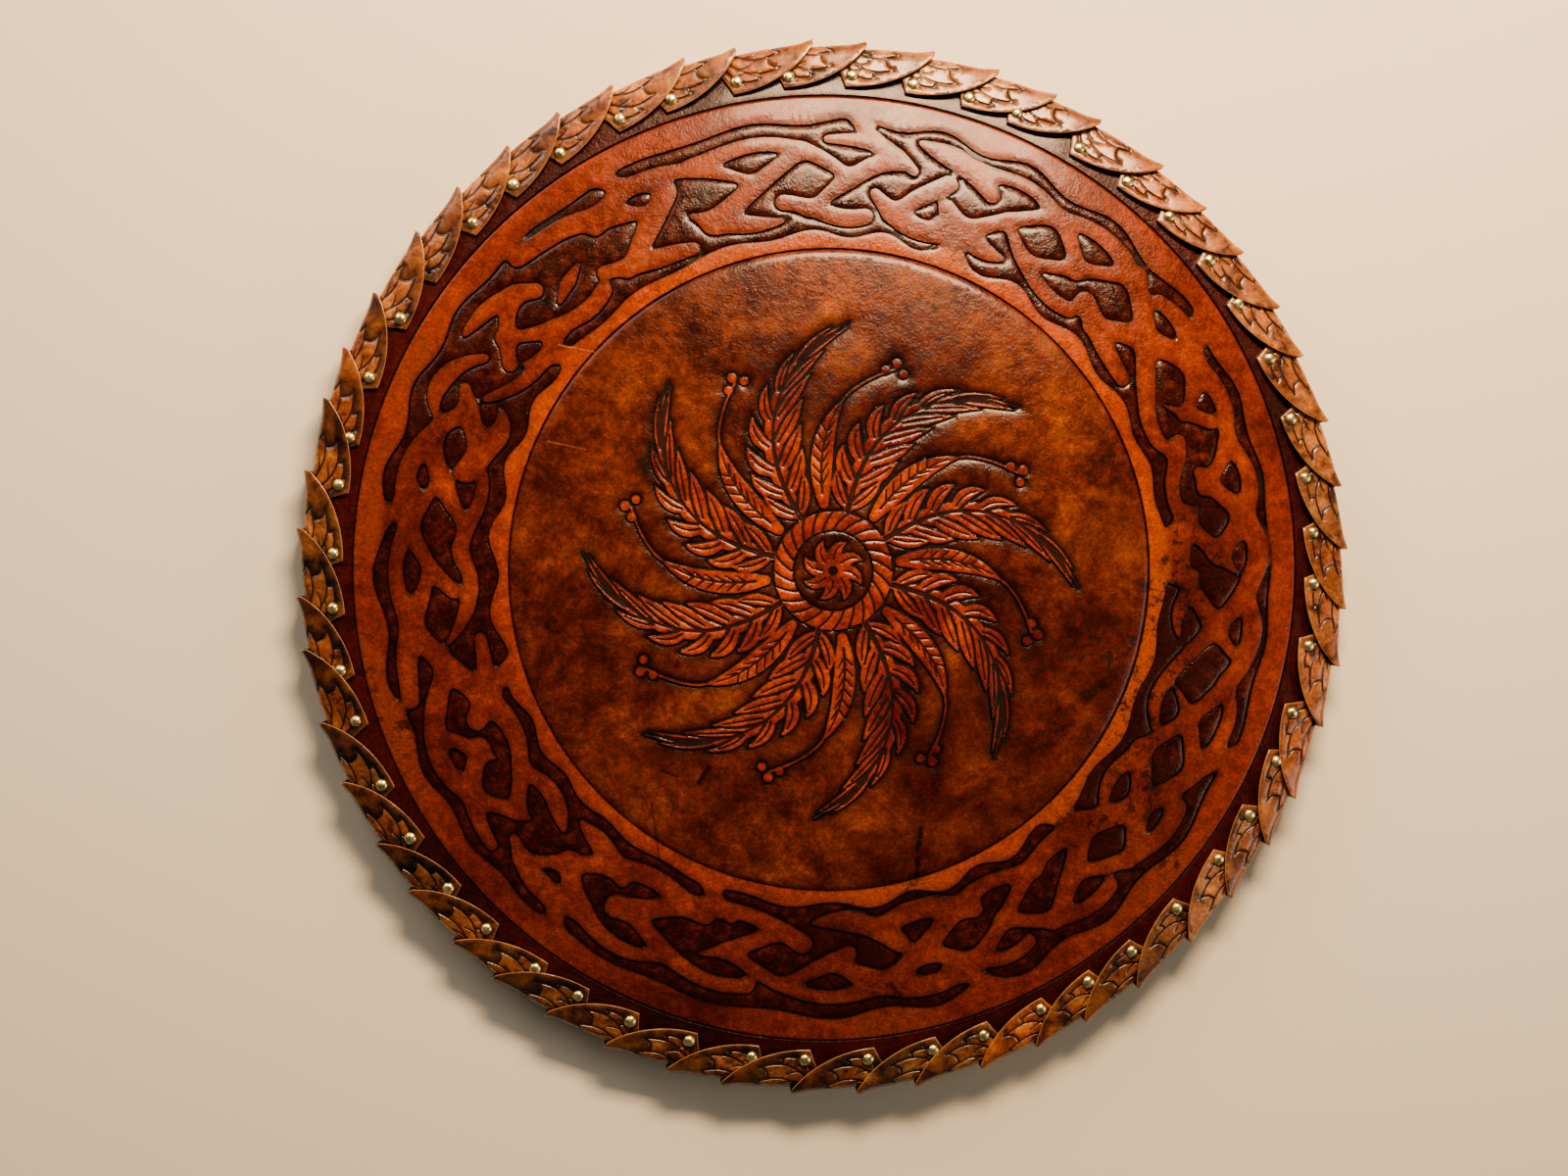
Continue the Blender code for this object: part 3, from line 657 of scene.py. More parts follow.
# Vegetable-tanned cowhide in spirit dyes: oxblood at the edge, orange on the rings and ribbons, a mottled
# disc. Dark antique paste stays in the cuts and the ground, and a resin finish gives a soft, uneven shine.
SMOOTH = {"interpolation_type": "SMOOTHSTEP"}
COLOURS = {"data_type": "RGBA"}
cowhide, tree, surface = new_material("dyed_tooling_leather")
spot = add(tree, "TexCoord", {}).outputs["Object"]
flat_at = add(tree, "VectorMath", (spot, (1.0, 1.0, 0.0)), operation="MULTIPLY")
out = add(tree, "VectorMath", (flat_at,), operation="LENGTH")
large, blotch, mottle, speck, creases = [
    add(
        tree,
        "TexNoise",
        {"Vector": spot, "Scale": per_mm / MM, "Detail": detail, "Roughness": rough, "Distortion": twist},
    )
    for per_mm, detail, rough, twist in (
        (0.008, 5.0, 0.62, 0.0),
        (0.026, 9.0, 0.72, 0.35),
        (0.15, 6.0, 0.75, 0.0),
        (0.52, 3.0, 0.7, 0.0),
        (0.17, 6.0, 0.62, 0.0),
    )
]
band, ring, inner_ring, ribbon, disc, leaf_tone, pressed = [
    add(tree, "ValToRGB", (value,), stops)
    for value, stops in (
        (large, ((0.34, "#2a0a07"), (0.5, "#431009"), (0.66, "#5f1a0e"))),
        (large, ((0.34, "#5a1e0c"), (0.5, "#863212"), (0.66, "#a64c1a"))),
        (large, ((0.34, "#8a3412"), (0.5, "#a84616"), (0.66, "#c05c20"))),
        (blotch, ((0.3, "#521c10"), (0.5, "#843215"), (0.68, "#a84b1d"))),
        (blotch, ((0.3, "#2d1009"), (0.42, "#541f0e"), (0.54, "#763212"), (0.7, "#a0541f"))),
        (blotch, ((0.32, "#5e1b0d"), (0.46, "#953310"), (0.6, "#bd5014"), (0.72, "#cf6a18"))),
        (mottle, ((0.3, "#240c07"), (0.52, "#431609"), (0.72, "#632610"))),
    )
]
leaf_mask, shade_mask, ground_mask, cut_mask = [
    add(tree, "Attribute", {}, attribute_name=word).outputs["Fac"]
    for word in ("leaf", "shade", "ground", "cut")
]

# The dyes from the disc outwards, each laid over the last from one radius to the next.
colour = disc
for value, start, stop, most, layer in (
    (large, 0.54, 0.66, 0.4, linear("#4c1016")),
    (out, DISC_RADIUS - 0.6 * MM, DISC_RADIUS + 0.3 * MM, 1.0, inner_ring),
    (out, GROUND_INNER, GROUND_INNER + 6 * MM, 1.0, ribbon),
    (out, GROUND_OUTER - 4 * MM, GROUND_OUTER + 3 * MM, 1.0, ring),
    (out, GROOVE_RADIUS - 0.4 * MM, GROOVE_RADIUS + 0.4 * MM, 1.0, band),
):
    share = add(tree, "MapRange", (value, start, stop, 0.0, most), **SMOOTH)
    colour = add(tree, "Mix", (share, colour, layer), **COLOURS)

# The leaves' own dye, the paste beside the cuts, the pressed ground, dark patches, and the cuts.
dark_wine, patch, speckled, held, blackened, grainy, coarse = [
    add(tree, "MapRange", (value, *span), **SMOOTH)
    for value, *span in (
        (large, 0.5, 0.62, 0.0, 0.6),
        (large, 0.53, 0.66, 0.0, 0.9),
        (mottle, 0.46, 0.6, 0.0, 1.0),
        (mottle, 0.35, 0.6, 0.35, 1.0),
        (cut_mask, 0.0, 0.85, 0.0, 0.94),
        (speck, 0.35, 0.68, 0.72, 1.15),
        (mottle, 0.36, 0.66, 0.64, 1.2),
    )
]
wine = add(tree, "Mix", (dark_wine, leaf_tone, linear("#6a1420")), **COLOURS)
shade = add(tree, "Math", (shade_mask, held), operation="MULTIPLY")
patch = add(tree, "Math", (patch, speckled), operation="MULTIPLY")
for share, layer in (
    (leaf_mask, wine),
    (shade, linear("#1d0805")),
    (ground_mask, pressed),
    (patch, linear("#1a0806")),
    (blackened, linear("#0c0403")),
):
    colour = add(tree, "Mix", (share, colour, layer), **COLOURS)
for factor in (grainy, coarse):
    colour = add(tree, "VectorMath", (colour, factor), operation="SCALE")

# What use has left on it, in millimetres from the middle: two pale scratches, and dark streaks and spots.
for start, end, width, code, share in (
    ((-153, 126.4), (-133, 122.4), 0.7, "#c07a52", 0.6),
    ((-159, 72.3), (-138, 67.7), 0.6, "#a8683f", 0.55),
    ((50.2, -146), (48.5, -173), 2.6, "#0a0403", 0.9),
    ((41, -117), (42, -121), 4.5, "#0d0504", 0.8),
    ((-69, -110), (-75, -119), 2.2, "#0a0403", 0.85),
    ((-96, -112), (-87, -115.5), 1.4, "#0e0504", 0.7),
    ((-106, 58), (-101, 54), 8.0, "#160805", 0.6),
    ((144, -72), (159, -62), 6.0, "#0f0504", 0.7),
    ((-101.6, -131), (-96.5, -165), 0.8, "#1a0704", 0.7),
):
    mark = drag_mark(tree, flat_at, start, end, width)
    ragged = add(tree, "MapRange", (mottle, 0.38, 0.55, 0.25, share), **SMOOTH)
    mark = add(tree, "Math", (mark, ragged), operation="MULTIPLY")
    colour = add(tree, "Mix", (mark, colour, linear(code)), **COLOURS)

# The finish: glossier on the smooth, padded ground, matt in the cuts, with fine creases and pores.
shine = add(tree, "Math", (blotch, mottle), operation="ADD")
shine, matt, rougher = [
    add(tree, "MapRange", (value, *span), **SMOOTH)
    for value, *span in (
        (shine, 0.72, 1.28, 0.24, 0.46),
        (cut_mask, 0.55, 0.95, 0.0, 0.45),
        (ground_mask, 0.0, 1.0, 1.0, 1.25),
    )
]
shine = add(tree, "Math", (shine, matt), operation="ADD")
rubbed = add(tree, "Math", (ground_mask, 0.09), operation="MULTIPLY")
shine = add(tree, "Math", (shine, rubbed), operation="SUBTRACT")
creases = add(tree, "Math", (creases, rougher), operation="MULTIPLY")
relief = add(tree, "Bump", {"Height": creases, "Strength": 0.7, "Distance": 0.6 * MM})
pore = add(tree, "TexVoronoi", {"Vector": spot, "Scale": 1 / (1.3 * MM)}, feature="SMOOTH_F1")
relief = add(tree, "Bump", {"Height": pore, "Normal": relief, "Strength": 0.55, "Distance": 0.22 * MM})
finish = {"Base Color": colour, "Roughness": shine, "Normal": relief}
finish |= {"Coat Weight": 0.19, "Coat Roughness": 0.14, "Specular IOR Level": 0.3}
add(tree, surface, finish)
place("carved_face", face_mesh, cowhide, "face_leather", "leather_facing")


# The edge scales
# Offcuts of lighter leather, each folded over the edge on top of the next one clockwise. The tail stands
# off, and each has a wing-like leaf cut in it: three ribs that fan out to points, with scallops between.
SCALE_COUNT = 52
SCALE_THICKNESS = 1.8 * MM
SCALE_SEAT = SCALE_THICKNESS + CLEARANCE
SCALE_REACH = 20 * MM
SCALE_TAIL = 51 * MM
SCALE_COVERED = 8 * MM
SCALE_BEND = 4 * MM
SCALE_RISE = 0.078
SCALE_FLARE = 0.057
SCALE_JITTER = 0.55
BARE_SCALE = 44
ODD_SCALES = {18: (0.95, 0.0), 22: (1.0, 1.0)}
NAIL_ALONG = 3.8 * MM
NAIL_OUT = 6.6 * MM
HOLE_SPOT = (2.2 * MM, 7.7 * MM)
HOLE_RADIUS = 1.0 * MM
TIP_CURL = 3.6 * MM
FRONT = SCALE_REACH + SCALE_SEAT - SCALE_BEND + 1.5 * MM
ARC = SCALE_BEND * math.pi / 2
WALL = 13 * MM
FOLD = 2 * FRONT + 2 * ARC + WALL


def on_edge(along, out, angle):
    """The flat place of a point this far round from a scale's corner, and this far from the middle."""
    turn = angle + along / (BOARD_RADIUS + SCALE_SEAT)
    return out * np.sin(turn), out * np.cos(turn)


def folded(points, inward, angle, stand_off):
    """Scale leather, along the edge by over the fold, laid round the edge. inward is the depth in it."""
    along, over = points[:, 0], points[:, 1]
    lift = SCALE_RISE * (along + SCALE_COVERED)
    curl = TIP_CURL * eased(along, 36 * MM, 57 * MM) ** 1.3
    wall = BOARD_RADIUS + SCALE_SEAT + SCALE_FLARE * (along + SCALE_COVERED) + curl - inward
    top = FACE_TOP + SCALE_SEAT + lift - inward
    foot = BOARD_UNDER - SCALE_SEAT - lift + inward
    corner = BOARD_RADIUS - SCALE_REACH
    bend = SCALE_BEND - inward
    back = over > FOLD / 2
    run = np.where(back, FOLD - over, over)
    level, up = np.where(back, foot, top), np.where(back, -1.0, 1.0)
    share = np.clip(run / FRONT, 0, 1)
    off = stand_off * eased(along, 33 * MM, 50 * MM) * (1 - eased(share, 0.5, 1))
    level = level + np.where(back, 0, off)
    turn = np.clip((run - FRONT) / ARC, 0, 1) * math.pi / 2
    out = corner + (wall - bend - corner) * share + bend * np.sin(turn)
    height = level - up * bend * (1 - np.cos(turn))
    down = np.clip((over - FRONT - ARC) / WALL, 0, 1)
    on_wall = (over > FRONT + ARC) & (over < FRONT + ARC + WALL)
    height = np.where(on_wall, (top - bend) + (foot - top + 2 * bend) * down, height)
    return dished(*on_edge(along, out, angle), height)


def scale_rim(tail):
    """The outline of a scale's flat leather: pointed at both ends, straight where it crosses the edge."""
    right, left = [], []
    for k in range(61):
        over = FOLD * k / 60
        share = min(1.0, over / FRONT, (FOLD - over) / FRONT)
        right.append((tail * share**0.45, over))
        left.append((-SCALE_COVERED * share**1.1, over))
    early = [(tail * (k / 80) ** 0.45, FRONT * k / 80) for k in (0.25, 0.9, 1.8)]
    late = [(x, FOLD - y) for x, y in reversed(early)]
    line = [right[0], *early, *right[1:-1], *late, right[-1], *left[-2:0:-1]]
    return np.array(line)


def bent(a, b, bow, count=9):
    """A curve from a to b that bows to the right of its way."""
    a, b = np.array(a), np.array(b)
    across = np.array([b[1] - a[1], a[0] - b[0]])
    parts = [k / (count - 1) for k in range(count)]
    return [tuple(a + (b - a) * part + across * bow * math.sin(math.pi * part)) for part in parts]


def wing(rng):
    """The cut lines of one scale's wing, and the closed outlines of its flats, on the flat leather."""

    def about(u, v, by=0.9):
        return (u + rng.uniform(-by, by)) * MM, (v + rng.uniform(-by, by) * 0.6) * MM

    roots = [about(2.0, 24.5), about(-1.0, 20.5), about(-1.5, 15.5)]
    tips = [about(31, 20.5), about(30, 11.5), about(18, 6.0)]
    rim_end = about(25, 27.5)
    ribs = [bent(a, b, bow) for a, b, bow in zip(roots, tips, (0.16, 0.19, 0.22))]
    starts = (rim_end, ribs[0][6], ribs[1][5])
    notches = [bent(a, b, bow) for a, b, bow in zip(starts, tips, (0.20, 0.24, 0.28))]
    small = bent(ribs[2][4], about(8.5, 4.2), -0.15, 6)
    thin = [0.42 * MM] * 9
    lines = [(rib, [0.46 * MM - 0.02 * MM * k for k in range(9)]) for rib in ribs]
    lines += [(notch, thin) for notch in notches]
    lines.append((small, [0.5 * MM - 0.05 * MM * k for k in range(6)]))
    for rib, reach in zip(ribs, (0.55, 0.5, 0.42)):
        u, v = rib[2]
        score = bent((u, v), (u + 16 * MM * reach, v + 1.2 * MM), 0.08, 5)
        lines.append((score, [0.3 * MM, 0.3 * MM, 0.25 * MM, 0.2 * MM, 0.12 * MM]))
    fields = [
        [(-6 * MM, 30 * MM), (rim_end[0], 30 * MM)] + notches[0] + ribs[0][::-1],
        ribs[0][:7] + notches[1] + ribs[1][::-1],
        ribs[1][:6] + notches[2] + ribs[2][::-1],
    ]
    return lines, fields


def near_rim(points, rim):
    """How near points lie to the cut edge of the leather, from 0 to 1."""
    ax, ay = rim.T
    bx, by = np.roll(rim, -1, axis=0).T
    x, y = points[:, :1], points[:, 1:]
    dx, dy = bx - ax, by - ay
    share = np.clip(((x - ax) * dx + (y - ay) * dy) / (dx * dx + dy * dy + 1e-15), 0, 1)
    far = np.hypot(x - ax - share * dx, y - ay - share * dy).min(axis=1)
    return np.clip(1 - far / (0.5 * MM), 0, 1)


def within(points, outline):
    """Which points a closed outline holds."""
    ring = np.array(outline)
    ax, ay = ring.T
    bx, by = np.roll(ring, -1, axis=0).T
    x, y = points[:, :1], points[:, 1:]
    crossing = (ay > y) != (by > y)
    with np.errstate(divide="ignore", invalid="ignore"):
        at = ax + (y - ay) * (bx - ax) / (by - ay)
    return ((crossing & (x < at)).sum(axis=1) % 2).astype(bool)


# Vegetable-tanned shoulder in a tan dye, rubbed with dark antique paste that stays in the cuts and low
# places, and sealed with a thin resin finish. The cut edges are left raw and pale. Each scale's tone is
# part random and part painted light, lighter towards the top right and darker towards the lower left, and a
# painted shade rings each nail head.
shoulder, tree, surface = new_material("antiqued_tan_leather")
spot = add(tree, "TexCoord", {}).outputs["Object"]
tone_and_painted_light_mask, red_mask, wing_mask, paste_and_nail_shade_mask, raw_mask = [
    add(tree, "Attribute", {}, attribute_name=word).outputs["Fac"]
    for word in ("tone", "redness", "wing", "cut", "edge")
]
blotch, speck, creases = [
    add(
        tree,
        "TexNoise",
        {"Vector": spot, "Scale": per_mm / MM, "Detail": detail, "Roughness": rough, "Distortion": twist},
    )
    for per_mm, detail, rough, twist in (
        (0.075, 7.0, 0.68, 0.5),
        (0.52, 3.0, 0.7, 0.0),
        (0.24, 5.0, 0.5, 0.0),
    )
]
tan, orange = [
    add(tree, "ValToRGB", (blotch,), stops)
    for stops in (
        ((0.3, "#482a1a"), (0.45, "#805032"), (0.58, "#a67147"), (0.72, "#c89865")),
        ((0.3, "#4a1f10"), (0.45, "#86431d"), (0.58, "#aa6434"), (0.72, "#c6864c")),
    )
]
colour = add(tree, "Mix", (red_mask, tan, orange), **COLOURS)
lit = add(tree, "MapRange", (wing_mask, 0.0, 1.0, 0.94, 1.15))
colour = add(tree, "VectorMath", (colour, lit), operation="SCALE")
paste = add(tree, "MapRange", (blotch, 0.46, 0.36, 0.0, 0.6), **SMOOTH)
# The paste, and the painted shade round each nail head, darken the scale.
for share, code in ((paste, "#1c0f09"), (paste_and_nail_shade_mask, "#120906")):
    colour = add(tree, "Mix", (share, colour, linear(code)), **COLOURS)
# Each scale's tone brightens or darkens it: a random share, plus painted light, lighter towards the top
# right and darker towards the lower left.
depth = add(tree, "MapRange", (tone_and_painted_light_mask, 0.0, 1.0, 0.6, 1.35))
grainy = add(tree, "MapRange", (speck, 0.35, 0.68, 0.75, 1.15), **SMOOTH)
for factor in (depth, grainy):
    colour = add(tree, "VectorMath", (colour, factor), operation="SCALE")
colour = add(tree, "Mix", (raw_mask, colour, linear("#a5835f")), **COLOURS)
relief = add(tree, "Bump", {"Height": creases, "Strength": 0.5, "Distance": 0.35 * MM})
finish = {"Base Color": colour, "Roughness": 0.36, "Normal": relief}
add(tree, surface, finish | {"Coat Weight": 0.35, "Coat Roughness": 0.16})

us = np.arange(-12 * MM, 56 * MM, 0.3 * MM)
vs = np.arange(-4 * MM, 64 * MM, 0.3 * MM)
rng = random.Random(5)
look = random.Random(17)
scale_angles = []
for number in range(SCALE_COUNT):
    angle = 2 * math.pi * (number + 0.25 + SCALE_JITTER * rng.uniform(-0.2, 0.2)) / SCALE_COUNT
    tail = SCALE_TAIL * rng.uniform(0.95, 1.0)
    scale_angles.append(angle)
    cuts = np.full((len(vs), len(us)), NO_STROKE)
    cut_lines, fields = wing(look)
    for points, radii in cut_lines:
        join_stroke(cuts, us, vs, points, radii, 0.2 * MM)
    hole = np.full((len(vs), len(us)), NO_STROKE)
    if number == BARE_SCALE:
        ends = [HOLE_SPOT, (HOLE_SPOT[0] + 0.1 * MM, HOLE_SPOT[1])]
        join_stroke(hole, us, vs, ends, [HOLE_RADIUS] * 2, 0.1 * MM)
    rim = scale_rim(tail)
    stand_off = look.uniform(0, 2.2) * MM

    def carved_depth(points):
        cut = sampled(us, vs, cuts, points)
        inside = np.zeros(len(points), bool)
        for outline in fields:
            inside |= within(points, outline)
        depth = 0.5 * MM * eased(cut, -0.35 * MM, 0.2 * MM)
        depth += np.where(inside, 0.1, 0.32) * MM * np.exp(np.clip(cut, -1, 0) / (1.8 * MM))
        depth += 1.1 * MM * eased(sampled(us, vs, hole, points), -0.2 * MM, 0.4 * MM)
        return depth, cut, inside

    def outer_face(points):
        depth = carved_depth(points)[0] + 0.35 * MM * near_rim(points, rim) ** 2
        return folded(points, depth, angle, stand_off)

    def inner_face(points):
        return folded(points, np.full(len(points), SCALE_THICKNESS), angle, stand_off)

    # A random tone, plus painted light by angle round the shield: lighter towards the top right, darker
    # towards the lower left.
    tone = 0.42 + 0.26 * math.cos(angle - 0.45) + look.uniform(-0.28, 0.28)
    redness = look.uniform(0.1, 0.85)
    # Tails darker towards the lower left, by angle round the shield, with a random share.
    dark_tail = max(0.0, look.uniform(-0.35, 0.35) + 0.55 * math.cos(angle - 4.3))
    if number in ODD_SCALES:
        tone, redness = ODD_SCALES[number]

    def scale_masks(points):
        _, cut, inside = carved_depth(points)
        near = 0.9 * np.exp(np.clip(cut, -1, 0) / (0.22 * MM))
        # The dark spread beside the cuts grows towards the lower left and shrinks towards the right, by
        # angle round the shield, and is heavier on scales of darker tone.
        spread_by_angle = (0.44 - 0.4 * math.cos(angle - 1.2)) * (1.25 - 0.5 * tone)
        spread = np.where(inside, 0.0, spread_by_angle * np.exp(np.clip(cut + 1.3 * MM, -1, 0) / (3.6 * MM)))
        spread = np.maximum(spread, dark_tail * eased(points[:, 0], 26 * MM, 44 * MM))
        spread = np.where(points[:, 1] > 28 * MM, 0.25, spread)
        paste_and_nail_shade = np.maximum(near, spread)
        paste_and_nail_shade = np.maximum(paste_and_nail_shade, eased(sampled(us, vs, hole, points), -0.5 * MM, 0.1 * MM))
        # A dark ring painted round each nail head: painted shade where the head meets the leather, with
        # paste gathered at its edge.
        from_nail = np.hypot(points[:, 0] - NAIL_ALONG, points[:, 1] - NAIL_OUT - 0.3 * MM)
        paste_and_nail_shade = np.maximum(paste_and_nail_shade, 0.8 * np.exp(-np.clip(from_nail - 4 * MM, 0, 1) / (0.6 * MM)))
        size = len(points)
        return {
            "cut": paste_and_nail_shade,
            "wing": inside.astype(float),
            "tone": np.full(size, tone),
            "redness": np.full(size, redness),
            "edge": near_rim(points, rim),
        }

    lines = []
    seen_cuts = np.where(vs[:, None] < 32 * MM, cuts, NO_STROKE)
    for level in (-0.35, 0.0):
        lines += contours(us, vs, seen_cuts, level * MM, 0.05 * MM)
    if number == BARE_SCALE:
        lines += contours(us, vs, hole, 0.0, 0.03 * MM)
    way = np.roll(rim, -1, axis=0) - np.roll(rim, 1, axis=0)
    inner = rim + np.stack([-way[:, 1], way[:, 0]], axis=1) / np.hypot(*way.T)[:, None] * 0.5 * MM
    lines.append((inner[within(inner, rim)], True))
    inside_rim = scattered(70 * MM, 2.8 * MM, 100 + number)
    inside_rim = inside_rim[within(inside_rim, rim)]
    plain = scattered(70 * MM, 7 * MM, 200 + number)
    plain = plain[within(plain, rim)]
    node = f"scale_{number + 1:02d}"
    mesh = sheet_mesh(node, rim, lines, inside_rim, plain, outer_face, inner_face, scale_masks)
    place(f"tan_{node}", mesh, shoulder, "scale_leather", node)


# The nails
# Solid brass upholsterer's nails with a domed head. One is driven through each scale near its corner, into
# the board, and stands a little askew. One is missing, and its scale shows the hole.
NAIL_RADIUS = 3.5 * MM
NAIL_HEIGHT = 2.2 * MM

# Bright cast brass that handling has dulled a little between the nails' tops and their edges.
brass, tree, surface = new_material("handled_brass")
spot = add(tree, "TexCoord", {}).outputs["Object"]
dull = add(tree, "TexNoise", {"Vector": spot, "Scale": 0.42 / MM, "Detail": 4.0})
colour = add(tree, "ValToRGB", (dull,), ((0.3, "#d3bd78"), (0.6, "#faeeb8")))
rough = add(tree, "MapRange", (dull, 0.3, 0.7, 0.26, 0.42), **SMOOTH)
add(tree, surface, {"Base Color": colour, "Metallic": 1.0, "Roughness": rough})


def turned_head(name, middle, axis, profile, sides=20):
    """A turned head, from a profile of (radius, height) that starts and ends on the axis."""
    swing = Vector((0, 0, 1)).rotation_difference(Vector(axis))
    points, faces = [], []
    for radius, level in profile[1:-1]:
        for k in range(sides):
            turn = 2 * math.pi * k / sides
            points.append(Vector((radius * math.cos(turn), radius * math.sin(turn), level)))
    points += [Vector((0, 0, profile[0][1])), Vector((0, 0, profile[-1][1]))]
    last = (len(profile) - 3) * sides
    for k in range(sides):
        after = (k + 1) % sides
        for row in range(0, last, sides):
            faces.append((row + after, row + k, row + sides + k, row + sides + after))
        faces.append((k, after, len(points) - 2))
        faces.append((last + after, last + k, len(points) - 1))
    mesh = bpy.data.meshes.new(name)
    mesh.from_pydata([tuple(Vector(middle) + swing @ p) for p in points], [], faces)
    mesh.shade_smooth()
    mesh.set_sharp_from_angle(angle=math.radians(50))
    return mesh


DOME = ((0, 1), (0.3, 0.96), (0.55, 0.85), (0.77, 0.64), (0.92, 0.36), (1, 0.08), (1, -0.4), (0, -0.4))
handled = random.Random(11)
for number, angle in enumerate(scale_angles):
    if number == BARE_SCALE:
        continue
    along = NAIL_ALONG + handled.uniform(-0.9, 0.9) * MM
    x, y = on_edge(along, BOARD_RADIUS - SCALE_REACH + NAIL_OUT + handled.uniform(-0.9, 0.9) * MM, angle)
    seat = FACE_TOP + SCALE_SEAT + SCALE_RISE * (along + SCALE_COVERED)
    middle = dished(np.array([x]), np.array([y]), np.array([seat]))[0]
    axis = (x / SPHERE + handled.uniform(-0.08, 0.08), y / SPHERE + handled.uniform(-0.08, 0.08), 1)
    girth = NAIL_RADIUS * handled.uniform(0.95, 1.06)
    head = [(radius * girth, level * NAIL_HEIGHT) for radius, level in DOME]
    mesh = turned_head(f"nail_{number + 1:02d}", middle, axis, head)
    place(f"brass_nail_{number + 1:02d}", mesh, brass, "brass")


# The straps behind
# Two straps of thick harness leather: a wide loop for the forearm and a narrow one for the hand. Each is
# bent up from two feet, stitched along both edges, and held by a brass rivet through each foot.
STRAP_THICKNESS = 4 * MM
STRAP_FOOT = 26 * MM
STRAP_STAND = 30 * MM
STITCH_INSET = 4.2 * MM
SIDES = 24

# Harness leather, dyed dark brown and waxed, with a smooth side and burnished edges.
harness, tree, surface = new_material("waxed_harness_leather")
spot = add(tree, "TexCoord", {}).outputs["Object"]
cloudy = add(tree, "TexNoise", {"Vector": spot, "Scale": 0.06 / MM, "Detail": 7.0, "Roughness": 0.65})
colour = add(tree, "ValToRGB", (cloudy,), ((0.3, "#1d0c06"), (0.5, "#33160a"), (0.7, "#4c2410")))
thread_mask = add(tree, "Attribute", {}, attribute_name="thread").outputs["Fac"]
colour = add(tree, "Mix", (thread_mask, colour, linear("#a48f68")), **COLOURS)
rough = add(tree, "MapRange", (cloudy, 0.3, 0.7, 0.36, 0.55), **SMOOTH)
hair = add(tree, "TexVoronoi", {"Vector": spot, "Scale": 1 / (1.1 * MM)}, feature="SMOOTH_F1")
relief = add(tree, "Bump", {"Height": hair, "Strength": 0.3, "Distance": 0.15 * MM})
add(tree, surface, {"Base Color": colour, "Roughness": rough, "Normal": relief})


def strap_route(span):
    """The band's middle line as (along, drop) points every 2 mm, with soft bends."""
    half = span / 2
    bends = [(-half - STRAP_FOOT, 0), (-half, 0)]
    bends += [(-half + 22 * MM, STRAP_STAND * 0.75), (-half + 42 * MM, STRAP_STAND)]
    bends += [(-y, drop) for y, drop in reversed(bends)]
    along, drop = np.array(bends).T
    even = np.linspace(along[0], along[-1], round((along[-1] - along[0]) / (2 * MM)) + 1)
    level = np.interp(even, along, drop)
    padded = np.pad(level, 4, mode="edge")
    return even, np.convolve(padded, np.hanning(11)[1:-1] / np.hanning(11).sum(), "valid")


def stitched_strap(name, x, span, width, *nodes):
    """Places a band on this upright line, with round ends and a row of stitches along each edge."""
    along, drop = strap_route(span)
    slope = np.gradient(drop, along)
    size = np.hypot(1, slope)
    tips = np.minimum(along - along[0], along[-1] - along)
    half = width / 2 * np.sqrt(np.clip(1 - (np.clip(14 * MM - tips, 0, None) / (14.5 * MM)) ** 2, 0, 1))
    stand = BOARD_UNDER - CLEARANCE - STRAP_THICKNESS / 2
    section = []
    for k in range(SIDES):
        turn = 2 * math.pi * (k + 0.5) / SIDES
        c, s = math.cos(turn), math.sin(turn)
        flat, round_edge = math.copysign(abs(c) ** 0.16, c), math.copysign(abs(s) ** 0.55, s)
        section.append((flat, round_edge * STRAP_THICKNESS / 2))
    points, faces = [], []

    def laid(i, across, depth):
        """A point of the band: its station, how far across, and how far under its middle."""
        y = along[i] - depth * slope[i] / size[i]
        height = stand - drop[i] - depth / size[i]
        return tuple(dished(np.array([x + across]), np.array([y]), np.array([height]))[0])

    for i in range(len(along)):
        points += [laid(i, half[i] * c, s) for c, s in section]
    plain = len(points)
    for row in range(0, plain - SIDES, SIDES):
        for k in range(SIDES):
            after = (k + 1) % SIDES
            faces.append((row + k, row + after, row + SIDES + after, row + SIDES + k))
    faces += [tuple(range(SIDES - 1, -1, -1)), tuple(range(plain - SIDES, plain))]
    for i in range(4, len(along) - 4, 2):
        for side in (-1, 1):
            across, first = side * (half[i] - STITCH_INSET), len(points)
            points += [laid(i - 1, across, STRAP_THICKNESS / 2), laid(i + 1, across, STRAP_THICKNESS / 2)]
            for off, lift in ((-0.5, 0.0), (0.0, 0.55), (0.5, 0.0), (0.0, -0.4)):
                points.append(laid(i, across + off * MM, STRAP_THICKNESS / 2 + lift * MM))
            for k in range(4):
                faces.append((first, first + 2 + k, first + 2 + (k + 1) % 4))
                faces.append((first + 1, first + 2 + (k + 1) % 4, first + 2 + k))
    mesh = bpy.data.meshes.new(name)
    mesh.from_pydata(points, [], faces)
    thread = mesh.attributes.new("thread", "FLOAT", "POINT")
    thread.data.foreach_set("value", [float(k >= plain) for k in range(len(points))])
    turned_right(mesh)
    mesh.shade_smooth()
    mesh.set_sharp_from_angle(angle=math.radians(60))
    place(name, mesh, harness, "strap_leather", *nodes)


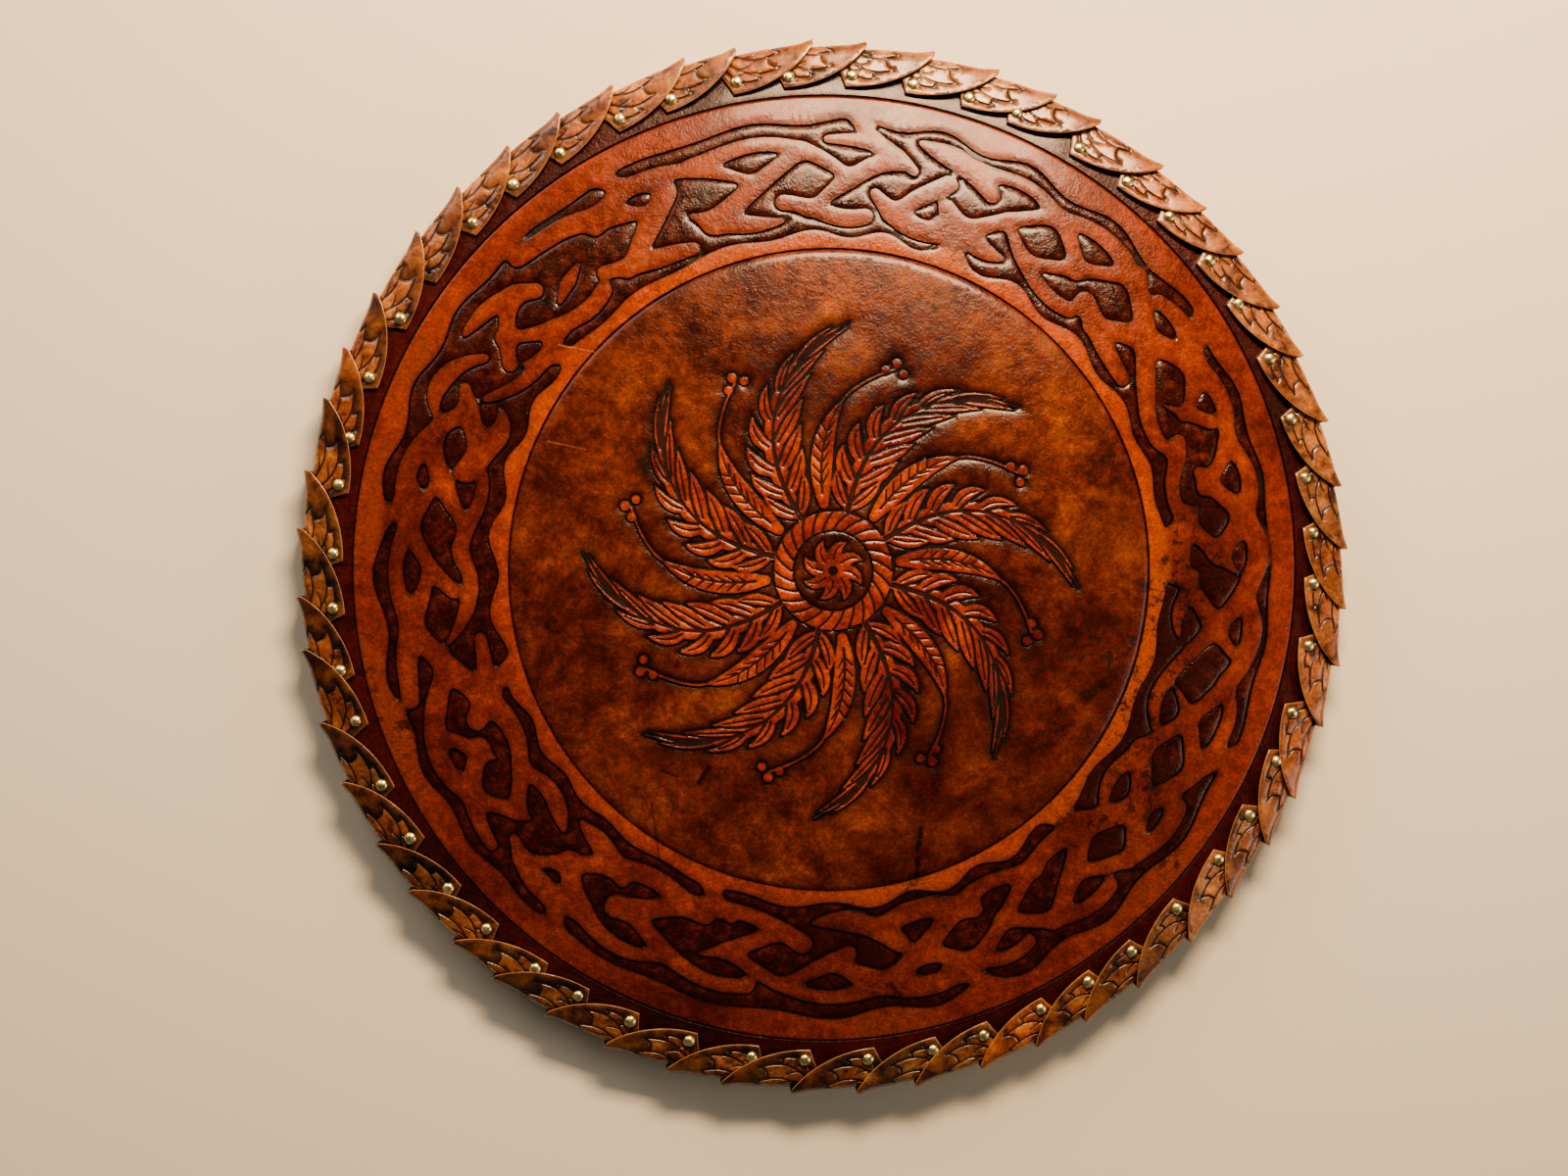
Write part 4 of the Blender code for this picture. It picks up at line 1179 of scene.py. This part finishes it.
RIVET = ((0, 2.0), (2.6, 1.9), (4.4, 1.5), (5.4, 0.9), (5.7, 0.3), (6.0, 0.1), (6.0, -0.5), (0, -0.5))
for name, node, rivets, span, width in (
    ("forearm_strap", "arm_strap", "arm_rivet", 150 * MM, 50 * MM),
    ("hand_strap", "hand_grip", "hand_rivet", 118 * MM, 32 * MM),
):
    low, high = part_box(node)
    x = (low[0] + high[0]) / 2 - MIDDLE[0]
    stitched_strap(name, x, span, width, node)
    for word, side in (("lower", -1), ("upper", 1)):
        y = side * (span + STRAP_FOOT) / 2
        seat = BOARD_UNDER - CLEARANCE - STRAP_THICKNESS
        middle = dished(np.array([x]), np.array([y]), np.array([seat]))[0]
        axis = (-x / SPHERE, -y / SPHERE, -1)
        mesh = turned_head(f"{rivets}_{word}", middle, axis, [(r * MM, h * MM) for r, h in RIVET], 28)
        place(f"brass_{rivets}_{word}", mesh, brass, "brass", f"{rivets}_{word}")


# Floor, lights and camera
# A plain pale floor just under the rim, a broad soft light beyond the top of the face, and weaker fill
# from both sides. The camera looks down on the face, leaning as it does in the photo.
FLOOR = 1.7
paper, tree, surface = new_material("pale_floor")
add(tree, surface, {"Base Color": linear("#f1ead9"), "Roughness": 0.9})
floor_mesh = bpy.data.meshes.new("floor")
corners = [(x * FLOOR, y * FLOOR, 0) for x, y in ((-1, -1), (1, -1), (1, 1), (-1, 1))]
floor_mesh.from_pydata(corners, [], [(0, 1, 2, 3)])
floor = bpy.data.objects.new("floor", floor_mesh)
floor.location.z = cad_low[2] - 0.2 * MM
floor_mesh.materials.append(paper)
bpy.context.scene.collection.objects.link(floor)


def soft_light(name, spot, target, size, power, code):
    """Adds an oblong soft light at this spot, turned to its target."""
    lamp = bpy.data.lights.new(name, "AREA")
    lamp.shape = "RECTANGLE"
    lamp.size, lamp.size_y = size
    lamp.energy = power
    lamp.color = linear(code)[:3]
    made = bpy.data.objects.new(name, lamp)
    made.location = spot
    made.rotation_euler = (Vector(target) - Vector(spot)).to_track_quat("-Z", "Y").to_euler()
    bpy.context.scene.collection.objects.link(made)


soft_light("window", (0.24, 0.98, 1.02), (0.0, 0.08, 0.0), (0.7, 0.26), 38, "#ffd9b0")
soft_light("left", (-1.5, 1.7, 1.05), (0, 0, 0), (1.4, 1.0), 21, "#fff1e4")
soft_light("right", (2.3, -0.6, 1.0), (0, 0, 0), (1.2, 0.9), 13, "#fff0dc")
world = bpy.data.worlds.new("studio")
world.use_nodes = True
room = world.node_tree.nodes["Background"]
seen = add(world.node_tree, "LightPath", {}).outputs["Is Camera Ray"]
strength = add(world.node_tree, "MapRange", (seen, 0.0, 1.0, 0.12, 0.62), **SMOOTH)
add(world.node_tree, room, {"Color": linear("#efe6d8"), "Strength": strength})
bpy.context.scene.world = world
bpy.context.scene.view_settings.look = "AgX - Medium High Contrast"

DISTANCE = 1.36
SENSOR = 36
PHOTO_WIDTH = 1600
PIXEL = 0.5645 * MM
FIT = 1.019
lean_x, lean_y = math.radians(3.3), math.radians(1.3)
target = Vector((-26.5 * MM, -10 * MM, FACE_TOP + DISH_DEPTH / 2))
back = Vector((-math.tan(lean_x), math.tan(lean_y), 1)).normalized()
view = bpy.data.cameras.new("camera")
view.lens = SENSOR * FIT * DISTANCE / (PHOTO_WIDTH * PIXEL)
camera = bpy.data.objects.new("camera", view)
across = Vector((0, 1, 0)).cross(back).normalized()
turned = Matrix((across, back.cross(across), back)).transposed()
camera.location = target + DISTANCE * back
camera.rotation_euler = turned.to_euler()
bpy.context.scene.collection.objects.link(camera)
bpy.context.scene.camera = camera
